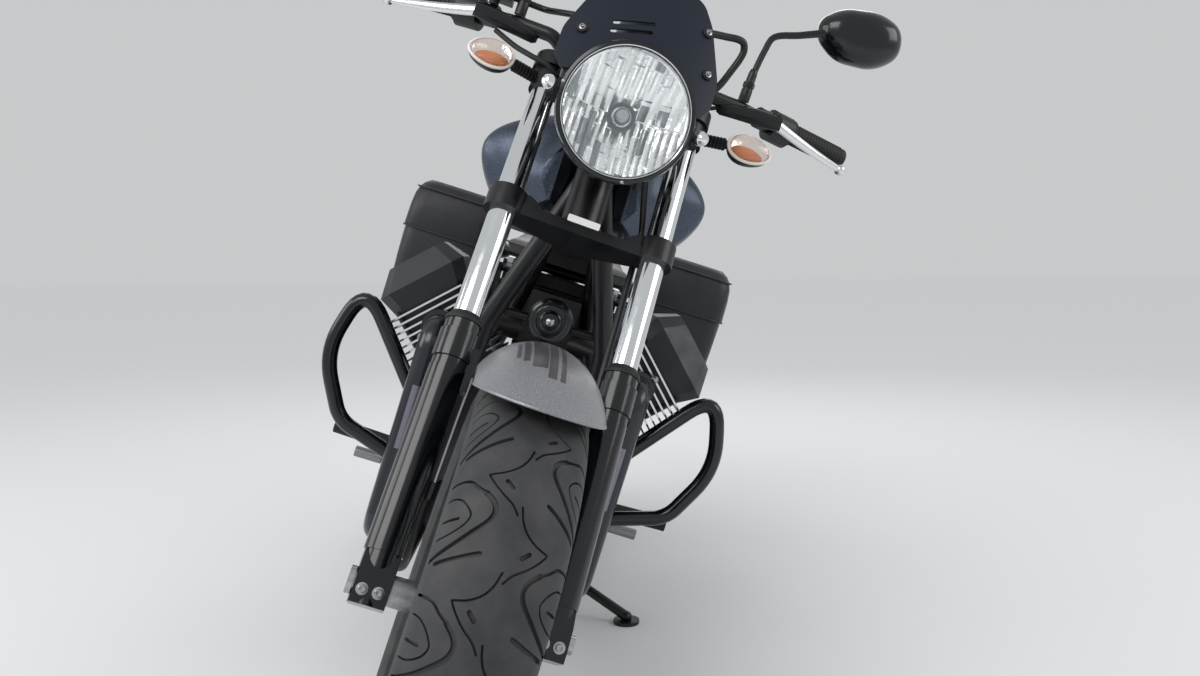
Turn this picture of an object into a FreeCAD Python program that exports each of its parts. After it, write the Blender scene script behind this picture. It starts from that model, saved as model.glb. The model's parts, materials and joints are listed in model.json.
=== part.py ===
import FreeCAD, Part
import Sketcher
import math
import os
from FreeCAD import Placement, Rotation, Vector

# A cruiser motorcycle with a V-twin engine set across its frame, as it parks on its side stand.
# Lengths are in millimetres and angles in degrees. Pieces are drawn on the upright motorcycle, with
# +X forward, +Y to its left and the ground point under the rear axle as the origin. They are then
# leaned over together, and the origin moves to the middle of the box round the parked motorcycle.

os.makedirs("parts", exist_ok=True)
doc = FreeCAD.newDocument("CruiserMotorcycle")
sheet = doc.addObject("Spreadsheet::Sheet", "Sizes")

# Driving dimensions: name, value, what it measures
DIMENSIONS = [
    ("wheelbase", 1465, "between the two axles"),
    ("rake", 26.4, "steering axis back from upright"),
    ("trail", 125, "steering axis on the ground, ahead of the front axle"),
    ("lean_angle", 18, "lean to the left on the side stand"),
    ("steer_angle", 4.4, "steering turned to the left as parked"),
    ("gap", 0.3, "clearance of seated pieces"),
    ("tyre_front_radius", 320, "front tyre over its tread"),
    ("tyre_front_half", 68.5, "half the width of the front tyre"),
    ("tyre_rear_radius", 323, "rear tyre over its tread"),
    ("tyre_rear_half", 75, "half the width of the rear tyre"),
    ("bead_radius", 205, "seat of the tyre on a 16 inch rim"),
    ("bead_half", 44, "half the width between the rim flanges"),
    ("flange_height", 11, "rim flange above the bead seat"),
    ("flange_thick", 7, "rim flange along the axle"),
    ("rim_depth", 19, "rim barrel under the bead seat"),
    ("hub_radius", 34, "cast hub of either wheel"),
    ("hub_half", 45, "half the length of the hub"),
    ("spoke_thick", 26, "spoke along the axle"),
    ("spoke_width", 24, "spoke at the rim"),
    ("spoke_pairs", 5, "pairs of spokes in a wheel"),
    ("axle_radius", 12, "wheel axles"),
    ("axle_bore", 8.5, "hole through the hollow axles"),
    ("disc_radius", 160, "front brake disc"),
    ("disc_rear_radius", 130, "rear brake disc"),
    ("disc_thick", 5, "brake discs"),
    ("disc_face", 72, "inner face of the discs from the wheel's middle"),
    ("disc_ring", 38, "width of the brake track"),
    ("fork_half", 113.5, "fork tube from the middle of the motorcycle"),
    ("fork_tube_radius", 19, "chromed fork tube"),
    ("fork_tube_top", 812, "top of the fork tube, up the fork from the axle"),
    ("slider_radius", 25, "fork slider"),
    ("slider_top", 360, "top of the fork slider"),
    ("slider_collar_radius", 24, "collar and dust seal of the slider"),
    ("slider_foot", 26, "end of the slider below the axle"),
    ("clamp_lower", 536, "underside of the lower fork clamp"),
    ("clamp_lower_thick", 34, "lower fork clamp round the tubes"),
    ("clamp_lower_bar", 17, "lower fork clamp between the tubes"),
    ("clamp_upper", 784, "underside of the upper fork clamp"),
    ("clamp_upper_thick", 24, "upper fork clamp"),
    ("clamp_lug_radius", 28.5, "end of a fork clamp round the tube"),
    ("stem_radius", 14, "steering stem"),
    ("head_radius", 30, "steering head tube outside"),
    ("head_bore", 20, "steering head tube inside"),
    ("bar_radius", 11, "handlebar tube"),
    ("bar_wall", 2.5, "wall of the handlebar tube"),
    ("bar_half", 395, "end of the handlebar from the middle"),
    ("bar_height", 1084, "handlebar at the grips"),
    ("bar_rise", 21.5, "handlebar over the upper fork clamp"),
    ("bar_back", 24.75, "handlebar behind the fork tubes, at its clamps"),
    ("grip_radius", 16.5, "rubber grip"),
    ("grip_length", 124, "rubber grip"),
    ("lamp_forward", 1293, "middle of the headlight, forward"),
    ("lamp_height", 981, "middle of the headlight, up"),
    ("lamp_rim_radius", 96, "headlight rim"),
    ("lamp_glass_radius", 87, "headlight lens"),
    ("lamp_depth", 112, "headlight shell behind its rim"),
    ("lamp_wall", 2.5, "headlight shell"),
    ("screen_half", 118, "half the width of the flyscreen"),
    ("screen_height", 235, "top of the flyscreen over the lamp's middle"),
    ("screen_thick", 3, "flyscreen"),
    ("mirror_half", 70, "half the width of a mirror head"),
    ("guard_radius", 12.7, "engine guard tube"),
    ("guard_half", 345, "outer run of the engine guard from the middle"),
    ("frame_radius", 16, "main frame tube"),
    ("rail_radius", 12.5, "seat rail tube"),
    ("cradle_half", 122, "cradle tube from the middle"),
    ("cradle_height", 195, "cradle tube above the ground"),
    ("crank_height", 420, "crankshaft above the ground"),
    ("cylinder_forward", 880, "middle of the cylinders, forward"),
    ("cylinder_angle", 45, "each cylinder from upright"),
    ("crankcase_half", 118, "half the width of the crankcase"),
    ("crankcase_length", 290, "crankcase along the motorcycle"),
    ("cylinder_base", 105, "cylinder base from the crankshaft"),
    ("fin_pitch", 12, "between cooling fins"),
    ("fin_thick", 3, "cooling fin"),
    ("fin_half", 80, "half the width of a cooling fin"),
    ("barrel_fins", 8, "fins on the barrel"),
    ("head_fins", 7, "fins on the head"),
    ("rocker_height", 78, "rocker cover"),
    ("exhaust_radius", 22, "header pipe with its heat shield"),
    ("silencer_radius", 46, "silencer"),
    ("silencer_half", 214, "silencer from the middle"),
    ("tank_half", 190, "half the width of the fuel tank at its crease"),
    ("tank_top", 1002, "top of the fuel tank"),
    ("seat_base", 748, "underside of the seat"),
    ("seat_half", 140, "half the width of the seat"),
    ("bag_inner", 215, "inner face of a saddlebag from the middle"),
    ("bag_width", 180, "saddlebag"),
    ("bag_length", 410, "saddlebag"),
    ("bag_height", 322, "saddlebag"),
    ("mudguard_front_radius", 345, "crown of the front mudguard from the axle"),
    ("mudguard_front_half", 80, "half the width of the front mudguard"),
    ("mudguard_rear_radius", 401.5, "crown of the rear mudguard from the axle"),
    ("mudguard_rear_half", 86, "half the width of the rear mudguard"),
    ("mudguard_thick", 3, "mudguard sheet"),
    ("swing_pivot_forward", 440, "swing arm pivot"),
    ("swing_pivot_height", 300, "swing arm pivot"),
    ("shock_half", 134, "rear shock from the middle"),
    ("peg_half", 352, "end of a rider's peg from the middle"),
    ("stand_reach", 345, "side stand foot from the middle, along the floor"),
    ("stand_foot_forward", 700, "side stand foot"),
]


class Size:
    """A number together with the spreadsheet expression that it comes from."""

    def __init__(self, value, text):
        self.value = float(value)
        self.text = text

    def __float__(self):
        return self.value

    def __add__(self, other):
        return Size(self.value + float(other), "(%s + %s)" % (self.text, text_of(other)))

    def __radd__(self, other):
        return self + other

    def __sub__(self, other):
        return Size(self.value - float(other), "(%s - %s)" % (self.text, text_of(other)))

    def __rsub__(self, other):
        return Size(float(other) - self.value, "(%s - %s)" % (text_of(other), self.text))

    def __mul__(self, other):
        return Size(self.value * float(other), "(%s * %s)" % (self.text, text_of(other)))

    def __rmul__(self, other):
        return self * other

    def __truediv__(self, other):
        return Size(self.value / float(other), "(%s / %s)" % (self.text, text_of(other)))

    def __neg__(self):
        return Size(-self.value, "(0 - %s)" % self.text)

    def root(self):
        return Size(math.sqrt(self.value), "sqrt(%s)" % self.text)


def text_of(number):
    return number.text if isinstance(number, Size) else "%.6g" % float(number)


class Dimensions:
    """The rows of the sheet, each under its own name."""


d = Dimensions()
for row, (name, value, note) in enumerate(DIMENSIONS, start=1):
    sheet.set("A%d" % row, name)
    sheet.set("B%d" % row, str(value))
    sheet.set("C%d" % row, note)
    sheet.setAlias("B%d" % row, name)
    setattr(d, name, Size(value, "Sizes." + name))
doc.recompute()

X_AXIS = Vector(1, 0, 0)
Y_AXIS = Vector(0, 1, 0)
Z_AXIS = Vector(0, 0, 1)
ORIGIN = Vector(0, 0, 0)


# Small helpers for features

def at(x, y, z):
    return Vector(float(x), float(y), float(z))


def bind(thing, **sizes):
    """Sets sizes of a feature and ties each to the sheet."""
    for name, size in sizes.items():
        setattr(thing, name, float(size))
        if isinstance(size, Size):
            thing.setExpression(name, size.text)


def bind_count(pattern, count):
    """Sets how many copies a pattern has, tied to the sheet where the count is a size of it."""
    pattern.Occurrences = int(float(count))
    if isinstance(count, Size):
        pattern.setExpression("Occurrences", count.text)


def origin_plane(body, role):
    for feature in body.Origin.OriginFeatures:
        if feature.Role == role:
            return feature
    raise ValueError("no plane " + role)


def new_sketch(body, role, label, lift=0):
    """A sketch on one of the body's own origin planes, lifted along the plane's normal."""
    sketch = body.newObject("Sketcher::SketchObject", label)
    sketch.AttachmentSupport = [(origin_plane(body, role), "")]
    sketch.MapMode = "FlatFace"
    sketch.AttachmentOffset = Placement(at(0, 0, lift), Rotation())
    if isinstance(lift, Size):
        sketch.setExpression("AttachmentOffset.Base.z", lift.text)
    return sketch


def pin_point(sketch, edge, end, across, up):
    """Ties one end of an edge to its distances from the sketch's origin."""
    for kind, size in (("DistanceX", across), ("DistanceY", up)):
        number = sketch.addConstraint(Sketcher.Constraint(kind, -1, 1, edge, end, float(size)))
        if isinstance(size, Size):
            sketch.setExpression("Constraints[%d]" % number, size.text)


def draw_outline(sketch, corners):
    """A closed outline of straight runs through corners given as (across, up)."""
    points = [at(across, up, 0) for across, up in corners]
    first = sketch.GeometryCount
    count = len(points)
    for place in range(count):
        sketch.addGeometry(Part.LineSegment(points[place], points[(place + 1) % count]), False)
    for place in range(count):
        following = first + (place + 1) % count
        sketch.addConstraint(Sketcher.Constraint("Coincident", first + place, 2, following, 1))
    for place, (across, up) in enumerate(corners):
        pin_point(sketch, first + place, 1, across, up)


def draw_circle(sketch, across, up, radius):
    edge = sketch.addGeometry(Part.Circle(at(across, up, 0), Z_AXIS, float(radius)), False)
    number = sketch.addConstraint(Sketcher.Constraint("Radius", edge, float(radius)))
    if isinstance(radius, Size):
        sketch.setExpression("Constraints[%d]" % number, radius.text)
    pin_point(sketch, edge, 3, across, up)


def new_pad(body, sketch, length, label, midplane=False, backwards=False):
    pad = body.newObject("PartDesign::Pad", label)
    pad.Profile = sketch
    pad.Midplane = midplane
    pad.Reversed = backwards
    bind(pad, Length=length)
    return pad


def new_turning(body, sketch, label, angle=360, axis="V_Axis"):
    """A revolved feature about an axis of its own sketch."""
    turning = body.newObject("PartDesign::Revolution", label)
    turning.Profile = sketch
    turning.ReferenceAxis = (sketch, [axis])
    bind(turning, Angle=angle)
    return turning


def turned_body(label, corners, angle=360):
    """A body revolved about its own Y axis from corners given as (radius, along)."""
    body = doc.addObject("PartDesign::Body", label)
    sketch = new_sketch(body, "XY_Plane", label + "_profile")
    draw_outline(sketch, corners)
    new_turning(body, sketch, label + "_turning", angle)
    return body


def repeat_round(body, features, sketch, count, label):
    """A polar pattern about a sketch's normal, as many times as the count says."""
    pattern = body.newObject("PartDesign::PolarPattern", label)
    pattern.Originals = features
    pattern.Axis = (sketch, ["N_Axis"])
    pattern.Angle = 360
    bind_count(pattern, count)
    body.Tip = pattern
    return pattern


def mirrored_pair(label, source):
    """One node of two solids: a piece and its mirror image across the middle of the motorcycle."""
    twin = doc.addObject("Part::Mirroring", label + "_twin")
    twin.Source = source
    twin.Normal = Y_AXIS
    return grouped(label, [source, twin])


def grouped(label, sources):
    """One node of several solids that don't touch."""
    both = doc.addObject("Part::Compound", label)
    both.Links = sources
    return both


def shaped(label, shape):
    """A feature that holds a shape made by Part's own functions from the sheet's sizes."""
    feature = doc.addObject("Part::Feature", label)
    feature.Shape = shape
    return feature


def with_twin(shape):
    return Part.makeCompound([shape, shape.mirror(ORIGIN, Y_AXIS)])


def bent_path(points, bend):
    """Straight runs through the points, with an arc of radius bend at each inner point."""
    edges = []
    start = points[0]
    for before, corner, after in zip(points, points[1:], points[2:]):
        arriving = (corner - before).normalize()
        leaving = (after - corner).normalize()
        half_turn = arriving.getAngle(leaving) / 2
        reach = float(bend) * math.tan(half_turn)
        arc_start = corner - arriving * reach
        arc_end = corner + leaving * reach
        inward = (leaving - arriving).normalize()
        arc_middle = corner + inward * (float(bend) / math.cos(half_turn) - float(bend))
        edges.append(Part.LineSegment(start, arc_start).toShape())
        edges.append(Part.Arc(arc_start, arc_middle, arc_end).toShape())
        start = arc_end
    edges.append(Part.LineSegment(start, points[-1]).toShape())
    return Part.Wire(edges)


def tube(points, bend, radius):
    """A solid round bar along a bent path."""
    path = bent_path(points, bend)
    ring = Part.Wire([Part.makeCircle(float(radius), points[0], points[1] - points[0])])
    return path.makePipeShell([ring], True, False)


def rod(start, end, radius):
    way = end - start
    return Part.makeCylinder(float(radius), way.Length, start, way)


def block(corner_low, corner_high):
    """A box between two opposite corners."""
    spread = corner_high - corner_low
    return Part.makeBox(spread.x, spread.y, spread.z, corner_low)


def rounded_wire(corners, radii):
    """A closed flat wire through corners, each rounded by its own radius."""
    edges = []
    count = len(corners)
    joints = []
    for place in range(count):
        corner = corners[place]
        arriving = (corner - corners[place - 1]).normalize()
        leaving = (corners[(place + 1) % count] - corner).normalize()
        half_turn = arriving.getAngle(leaving) / 2
        radius = float(radii[place])
        reach = radius * math.tan(half_turn)
        inward = (leaving - arriving).normalize()
        middle = corner + inward * (radius / math.cos(half_turn) - radius)
        joints.append((corner - arriving * reach, middle, corner + leaving * reach))
    for place in range(count):
        start, middle, end = joints[place]
        edges.append(Part.Arc(start, middle, end).toShape())
        edges.append(Part.LineSegment(end, joints[(place + 1) % count][0]).toShape())
    return Part.Wire(edges)


# Where the groups of pieces stand

front_axle = at(d.wheelbase, 0, d.tyre_front_radius)
rear_axle = at(0, 0, d.tyre_rear_radius)
rake = math.radians(float(d.rake))
fork_up = Vector(-math.sin(rake), 0, math.cos(rake))
fork_ahead = Vector(math.cos(rake), 0, math.sin(rake))
steering_foot = at(d.wheelbase + d.trail, 0, 0)
fork_offset = (front_axle - steering_foot).dot(fork_ahead)

# In the fork's own frame +X is ahead, +Z up the fork, and the origin is the axle
fork_frame = Placement(front_axle, Rotation(Y_AXIS, -float(d.rake)))
turned = Placement(ORIGIN, Rotation(fork_up, float(d.steer_angle)), steering_foot)


def lowest_point(place, axle, ring_radius, tread_radius):
    """How low a leaned tyre reaches, as a ring of round section."""
    centre = place.multVec(axle)
    axis = place.Rotation.multVec(Y_AXIS)
    return centre.z - ring_radius * math.sqrt(1 - axis.z * axis.z) - tread_radius


def parked_placement():
    """Leans the motorcycle over and pitches it until both tyres touch the floor."""
    front_half = float(d.tyre_front_half)
    rear_half = float(d.tyre_rear_half)
    lean = Placement(ORIGIN, Rotation(X_AXIS, -float(d.lean_angle)))
    pitch = 0.0
    for _ in range(4):
        place = Placement(ORIGIN, Rotation(Y_AXIS, pitch)) * lean
        front = lowest_point(place * turned, front_axle, float(d.tyre_front_radius) - front_half,
                             front_half)
        rear = lowest_point(place, rear_axle, float(d.tyre_rear_radius) - rear_half, rear_half)
        pitch += math.degrees(math.atan2(front - rear, float(d.wheelbase)))
    return Placement(Vector(0, 0, -rear), Rotation()) * place


leaned = parked_placement()
pieces = []


def put(node, group="frame"):
    """Registers a sub-part with the group that it stands in."""
    pieces.append((node, group))
    return node


# Wheels

def make_tyre(label, radius, half):
    """A tyre of round section that closes on its bead seat."""
    body = doc.addObject("PartDesign::Body", label)
    sketch = new_sketch(body, "XY_Plane", label + "_profile")
    lip = d.bead_radius + d.flange_height + 1
    shoulder = lip + 3
    centre = radius - half
    spread = (half * half - (shoulder - centre) * (shoulder - centre)).root()
    corners = [(shoulder, spread), (lip, d.bead_half), (d.bead_radius, d.bead_half),
               (d.bead_radius, -d.bead_half), (lip, -d.bead_half), (shoulder, -spread)]
    for (across, up), (next_across, next_up) in zip(corners, corners[1:]):
        sketch.addGeometry(Part.LineSegment(at(across, up, 0), at(next_across, next_up, 0)), False)
    arc = Part.Arc(at(shoulder, -spread, 0), at(radius, 0, 0), at(shoulder, spread, 0))
    sketch.addGeometry(arc, False)
    last = len(corners) - 1
    for edge in range(last - 1):
        sketch.addConstraint(Sketcher.Constraint("Coincident", edge, 2, edge + 1, 1))
    sketch.addConstraint(Sketcher.Constraint("Coincident", last - 1, 2, last, 1))
    sketch.addConstraint(Sketcher.Constraint("Coincident", last, 2, 0, 1))
    for edge, (across, up) in enumerate(corners[:-1]):
        pin_point(sketch, edge, 1, across, up)
    pin_point(sketch, last - 1, 2, corners[-1][0], corners[-1][1])
    number = sketch.addConstraint(Sketcher.Constraint("Radius", last, float(half)))
    sketch.setExpression("Constraints[%d]" % number, half.text)
    new_turning(body, sketch, label + "_turning")
    return body


def make_wheel(label, left_end):
    """A cast wheel: hub, pairs of spokes and a barrel between two flanges."""
    body = doc.addObject("PartDesign::Body", label)
    hub = new_sketch(body, "XY_Plane", label + "_hub_profile")
    bore = d.axle_radius + d.gap
    waist = d.hub_radius - 6
    draw_outline(hub, [(bore, -d.hub_half), (d.hub_radius, -d.hub_half), (d.hub_radius, -d.hub_half + 14),
                       (waist, -d.spoke_thick / 2 - 6), (waist, d.spoke_thick / 2 + 6),
                       (d.hub_radius, d.hub_half - 14), (d.hub_radius, left_end), (bore, left_end)])
    new_turning(body, hub, label + "_hub")
    spokes = new_sketch(body, "XZ_Plane", label + "_spoke_outline")
    rim_inside = d.bead_radius - d.rim_depth
    for side in (-1, 1):
        lean = side * d.spoke_width * 1.15
        corners = [(waist - 8, side * 3), (rim_inside + 6, lean + side * d.spoke_width / 2),
                   (rim_inside + 6, lean - side * d.spoke_width / 2), (waist - 8, side * 13)]
        draw_outline(spokes, corners if side > 0 else corners[::-1])
    pair = new_pad(body, spokes, d.spoke_thick, label + "_spoke_pair", midplane=True)
    repeat_round(body, [pair], spokes, d.spoke_pairs, label + "_spokes")
    barrel = new_sketch(body, "XY_Plane", label + "_barrel_profile")
    seat = d.bead_radius - d.gap
    lip = d.bead_radius + d.flange_height
    inner = d.bead_half + d.gap
    outer = d.bead_half + d.flange_thick
    draw_outline(barrel, [(lip, -outer), (lip, -inner), (seat, -inner), (seat, inner), (lip, inner),
                          (lip, outer), (seat - 9, outer - 4), (rim_inside, d.bead_half / 2),
                          (rim_inside, -d.bead_half / 2), (seat - 9, -outer + 4)])
    turning = new_turning(body, barrel, label + "_barrel")
    body.Tip = turning
    return body


def make_disc(label, radius):
    """A drilled brake disc on a carrier with windows, bolted to the hub."""
    body = doc.addObject("PartDesign::Body", label)
    plate = new_sketch(body, "XZ_Plane", label + "_outline")
    draw_circle(plate, 0, 0, radius)
    draw_circle(plate, 0, 0, d.axle_radius + 6)
    new_pad(body, plate, d.disc_thick, label + "_plate", backwards=True)
    window = new_sketch(body, "XZ_Plane", label + "_window")
    inner = d.hub_radius + 8
    outer = radius - d.disc_ring
    draw_outline(window, [(inner, -8), (outer - 4, -outer * 0.36), (outer - 4, outer * 0.36), (inner, 8)])
    cut = body.newObject("PartDesign::Pocket", label + "_window_cut")
    cut.Profile = window
    cut.Type = "ThroughAll"
    cut.Midplane = True
    repeat_round(body, [cut], window, 6, label + "_windows")
    hole = new_sketch(body, "XZ_Plane", label + "_hole")
    draw_circle(hole, radius - d.disc_ring * 0.35, 0, 4)
    drill = body.newObject("PartDesign::Pocket", label + "_drill")
    drill.Profile = hole
    drill.Type = "ThroughAll"
    drill.Midplane = True
    repeat_round(body, [drill], hole, 18, label + "_drilling")
    return body


def make_wheels():
    disc_seat = d.disc_face - d.gap
    for end, radius, half, disc in (("front", d.tyre_front_radius, d.tyre_front_half, d.disc_radius),
                                    ("rear", d.tyre_rear_radius, d.tyre_rear_half, d.disc_rear_radius)):
        group = end + "_wheel"
        put(make_tyre(end + "_tyre", radius, half), group)
        put(make_wheel(end + "_rim", disc_seat), group)
        put(make_disc(end + "_disc", disc), group + "_disc")


make_wheels()


# Fork

def make_fork_tubes():
    """Two chromed tubes, each closed by a cap above the upper clamp."""
    body = doc.addObject("PartDesign::Body", "fork_tube_one")
    outline = new_sketch(body, "XY_Plane", "fork_tube_outline", d.slider_top - 90)
    draw_circle(outline, 0, d.fork_half, d.fork_tube_radius)
    new_pad(body, outline, d.fork_tube_top - d.slider_top + 90, "fork_tube_length")
    cap = new_sketch(body, "XY_Plane", "fork_cap_outline", d.fork_tube_top)
    draw_circle(cap, 0, d.fork_half, d.fork_tube_radius - 5)
    new_pad(body, cap, 8, "fork_cap")
    put(mirrored_pair("fork_tubes", body), "fork")


def make_fork_sliders():
    """Two sliders with collar, axle lug, mudguard lug and a bore for the tube."""
    slider = doc.addObject("PartDesign::Body", "fork_slider_one")
    outline = new_sketch(slider, "XY_Plane", "slider_outline", -d.slider_foot)
    draw_circle(outline, 0, d.fork_half, d.slider_radius - 2)
    new_pad(slider, outline, d.slider_foot + 60, "slider_foot_length")
    leg = new_sketch(slider, "XY_Plane", "slider_leg_outline", Size(40, "40"))
    draw_circle(leg, 0, d.fork_half, d.slider_radius)
    new_pad(slider, leg, d.slider_top - 110, "slider_leg")
    collar = new_sketch(slider, "XY_Plane", "slider_collar_outline", d.slider_top - 72)
    draw_circle(collar, 0, d.fork_half, d.slider_collar_radius)
    new_pad(slider, collar, 72, "slider_collar")
    ring = new_sketch(slider, "XY_Plane", "slider_ring_outline", d.slider_top - 58)
    draw_circle(ring, 0, d.fork_half, d.slider_collar_radius + 2.5)
    new_pad(slider, ring, 40, "slider_ring")
    lug = new_sketch(slider, "XY_Plane", "mudguard_lug_outline", d.slider_top - 96)
    inner = d.mudguard_front_half + d.gap
    draw_outline(lug, [(-9, inner), (9, inner), (9, d.fork_half - 12), (-9, d.fork_half - 12)])
    new_pad(slider, lug, 62, "mudguard_lug")
    foot = new_sketch(slider, "XZ_Plane", "axle_lug_outline", -(d.fork_half + 21))
    draw_outline(foot, [(-21, -d.slider_foot), (21, -d.slider_foot), (24, -12), (24, 16), (14, 40),
                        (-14, 40), (-24, 16), (-24, -12)])
    new_pad(slider, foot, 44, "axle_lug")
    bore = new_sketch(slider, "XY_Plane", "slider_bore_outline", d.slider_top)
    draw_circle(bore, 0, d.fork_half, d.fork_tube_radius + d.gap / 2)
    deep = slider.newObject("PartDesign::Pocket", "slider_bore")
    deep.Profile = bore
    bind(deep, Length=Size(92, "92"))
    axle_hole = new_sketch(slider, "XZ_Plane", "axle_hole_outline")
    draw_circle(axle_hole, 0, 0, d.axle_radius + d.gap / 2)
    through = slider.newObject("PartDesign::Pocket", "axle_hole")
    through.Profile = axle_hole
    through.Type = "ThroughAll"
    through.Midplane = True
    put(mirrored_pair("fork_sliders", slider), "fork")


def clamp_plate(low, thick, bar_thick, ahead, behind):
    """One fork clamp: a bar that is deepest at the stem, between two taller lugs bored for the tubes."""
    half = float(d.fork_half)
    lug = float(d.clamp_lug_radius)
    waist = 30
    corners = [(ahead, -half), (ahead, half), (-18, half), (-behind, waist), (-behind, -waist), (-18, -half)]
    outline = [at(forward, across, low) for forward, across in corners]
    plate = Part.Face(Part.makePolygon(outline + outline[:1])).extrude(Z_AXIS * float(bar_thick))
    for side in (-1, 1):
        plate = plate.fuse(Part.makeCylinder(lug, float(thick), at(0, side * half, low)))
        if float(thick) > float(bar_thick):
            # An ear runs in from the lug and slopes down to the bar
            ear = [at(-22, side * (half - inward), low + up)
                   for inward, up in ((50, bar_thick - 1), (42, thick - 6), (32, thick), (0, thick), (0, 1),
                                      (50, 1))]
            plate = plate.fuse(Part.Face(Part.makePolygon(ear + ear[:1])).extrude(X_AXIS * (ahead + 19)))
    for side in (-1, 1):
        bore = float(d.fork_tube_radius + d.gap / 2)
        plate = plate.cut(Part.makeCylinder(bore, float(thick) + 2, at(0, side * half, low - 1)))
    return plate


def make_fork_clamps():
    """Lower and upper clamps on the steering stem, with the two handlebar risers."""
    offset = fork_offset
    lower = clamp_plate(d.clamp_lower, d.clamp_lower_thick, d.clamp_lower_bar, 15, offset + 14)
    lower = lower.fuse(Part.makeCylinder(34, float(d.clamp_lower_thick), at(-offset, 0, d.clamp_lower)))
    # A tab stands up from the bar for a blank plate
    bar_top = d.clamp_lower + d.clamp_lower_bar
    lower = lower.fuse(block(at(9, -25, bar_top - 4), at(14.5, 25, bar_top + 10)))
    upper = clamp_plate(d.clamp_upper, d.clamp_upper_thick, d.clamp_upper_thick, 12, offset + 22)
    upper_top = d.clamp_upper + d.clamp_upper_thick
    stem = Part.makeCylinder(float(d.stem_radius), float(upper_top + 10 - d.clamp_lower),
                             at(-offset, 0, d.clamp_lower))
    nut = Part.makeCylinder(20, 8, at(-offset, 0, upper_top - 0.5))
    # Bearing collars turn inside the two ends of the steering head
    bearing = float(d.head_bore - d.gap)
    low_bearing = Part.makeCylinder(bearing, 20, at(-offset, 0, d.clamp_lower + d.clamp_lower_thick - 1))
    high_bearing = Part.makeCylinder(bearing, 20, at(-offset, 0, d.clamp_upper - 19))
    clamps = lower.fuse([upper, stem, nut, low_bearing, high_bearing])
    bar = at(-d.bar_back, 0, upper_top + d.bar_rise)
    for side in (-1, 1):
        riser = Part.makeCylinder(15, bar.z - float(upper_top) + 2, at(bar.x, side * 48, upper_top - 1))
        cap = block(at(bar.x - 20, side * 48 - 14, bar.z - 14), at(bar.x + 20, side * 48 + 14, bar.z + 17))
        clamps = clamps.fuse([riser, cap])
    clamps = clamps.cut(rod(at(bar.x, -80, bar.z), at(bar.x, 80, bar.z), d.bar_radius + d.gap / 2))
    put(shaped("fork_clamps", clamps), "fork")


# Handlebar: its middle stands over the upper clamp, and it sweeps back to its ends
bar_middle = fork_frame.multVec(at(-d.bar_back, 0, d.clamp_upper + d.clamp_upper_thick + d.bar_rise))
bar_end_forward = bar_middle.x - 96
bar_points_half = [
    bar_middle,
    bar_middle + Y_AXIS * 82,
    at(bar_middle.x + 8, 128, d.bar_height),
    at(bar_middle.x - 6, 182, d.bar_height + 2),
    at(bar_end_forward, d.bar_half, d.bar_height),
]


# How far the levers' clamps stand along the outer run, and the mirrors' feet
perch_along = 54
mirror_along = 8


def make_handlebar():
    """One bent tube, open at both ends."""
    left = bar_points_half[1:]
    right = [Vector(point.x, -point.y, point.z) for point in reversed(left)]
    points = right + left
    outside = tube(points, 28, d.bar_radius)
    outward = (points[-1] - points[-2]).normalize()
    bore = outside
    for side in (-1, 1):
        end = at(bar_end_forward, side * d.bar_half, d.bar_height)
        along = Vector(outward.x, side * outward.y, outward.z)
        bore = bore.cut(rod(end + along, end - along * 130, d.bar_radius - d.bar_wall))
    put(shaped("handlebar", bore), "steered")


def make_grips():
    """Rubber grips with a flange at the inner end."""
    start, end = bar_points_half[-2:]
    along = (end - start).normalize()
    inner = end - along * float(d.grip_length)
    grip = rod(inner, end - along * 1.5, d.grip_radius)
    grip = grip.fuse(rod(inner, inner + along * 6, d.grip_radius + 5))
    grip = grip.cut(rod(inner - along, end + along, d.bar_radius + d.gap / 2))
    put(shaped("grips", with_twin(grip)), "steered")


def make_hand_levers():
    """A clamp on the bar, and a lever with a ball end ahead of each grip."""
    start, end = bar_points_half[-2:]
    along = (end - start).normalize()
    perch = start + along * perch_along
    clamp = rod(perch - along * 13, perch + along * 13, d.bar_radius + 6)
    pivot = perch + Vector(34, 16, -6)
    arm = rod(perch + Vector(8, 0, -2), pivot, 9)
    knuckle = rod(pivot - Z_AXIS * 9, pivot + Z_AXIS * 9, 13)
    ball = Vector(end.x + 36, end.y - 4, end.z - 24)
    blade = tube([pivot, pivot + Vector(-2, 46, -8), ball], 60, 6)
    lever = clamp.fuse([arm, knuckle, blade, Part.makeSphere(9.5, ball)])
    lever = lever.cut(rod(perch - along * 20, perch + along * 20, d.bar_radius + d.gap / 2))
    put(shaped("hand_levers", with_twin(lever)), "steered")


def make_switch_blocks():
    """A switch housing inside each grip, and the brake reservoir on the right one."""
    start, end = bar_points_half[-2:]
    along = (end - start).normalize()
    outer = end - along * float(d.grip_length + 1)
    inner = outer - along * 38
    housing = rod(inner, outer, 23)
    housing = housing.fuse(rod(inner + Z_AXIS * -8, outer + Z_AXIS * -8, 20))
    housing = housing.cut(rod(inner - along, outer + along, d.bar_radius + d.gap / 2))
    reservoir = reservoir_shape(start + along * perch_along)
    mirror_image = housing.mirror(ORIGIN, Y_AXIS)
    put(shaped("switch_blocks", Part.makeCompound([housing, mirror_image, reservoir])), "steered")


def reservoir_shape(perch):
    """Brake fluid reservoir with a lid, standing on the right lever's clamp."""
    foot = Vector(perch.x + 4, -perch.y, perch.z + float(d.bar_radius + 6 + d.gap))
    body = block(foot + Vector(-22, -30, 9), foot + Vector(22, 28, 32))
    lid = block(foot + Vector(-24, -32, 32), foot + Vector(24, 30, 38))
    post = Part.makeCylinder(8, 10, foot)
    return body.fuse([lid, post])


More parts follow.
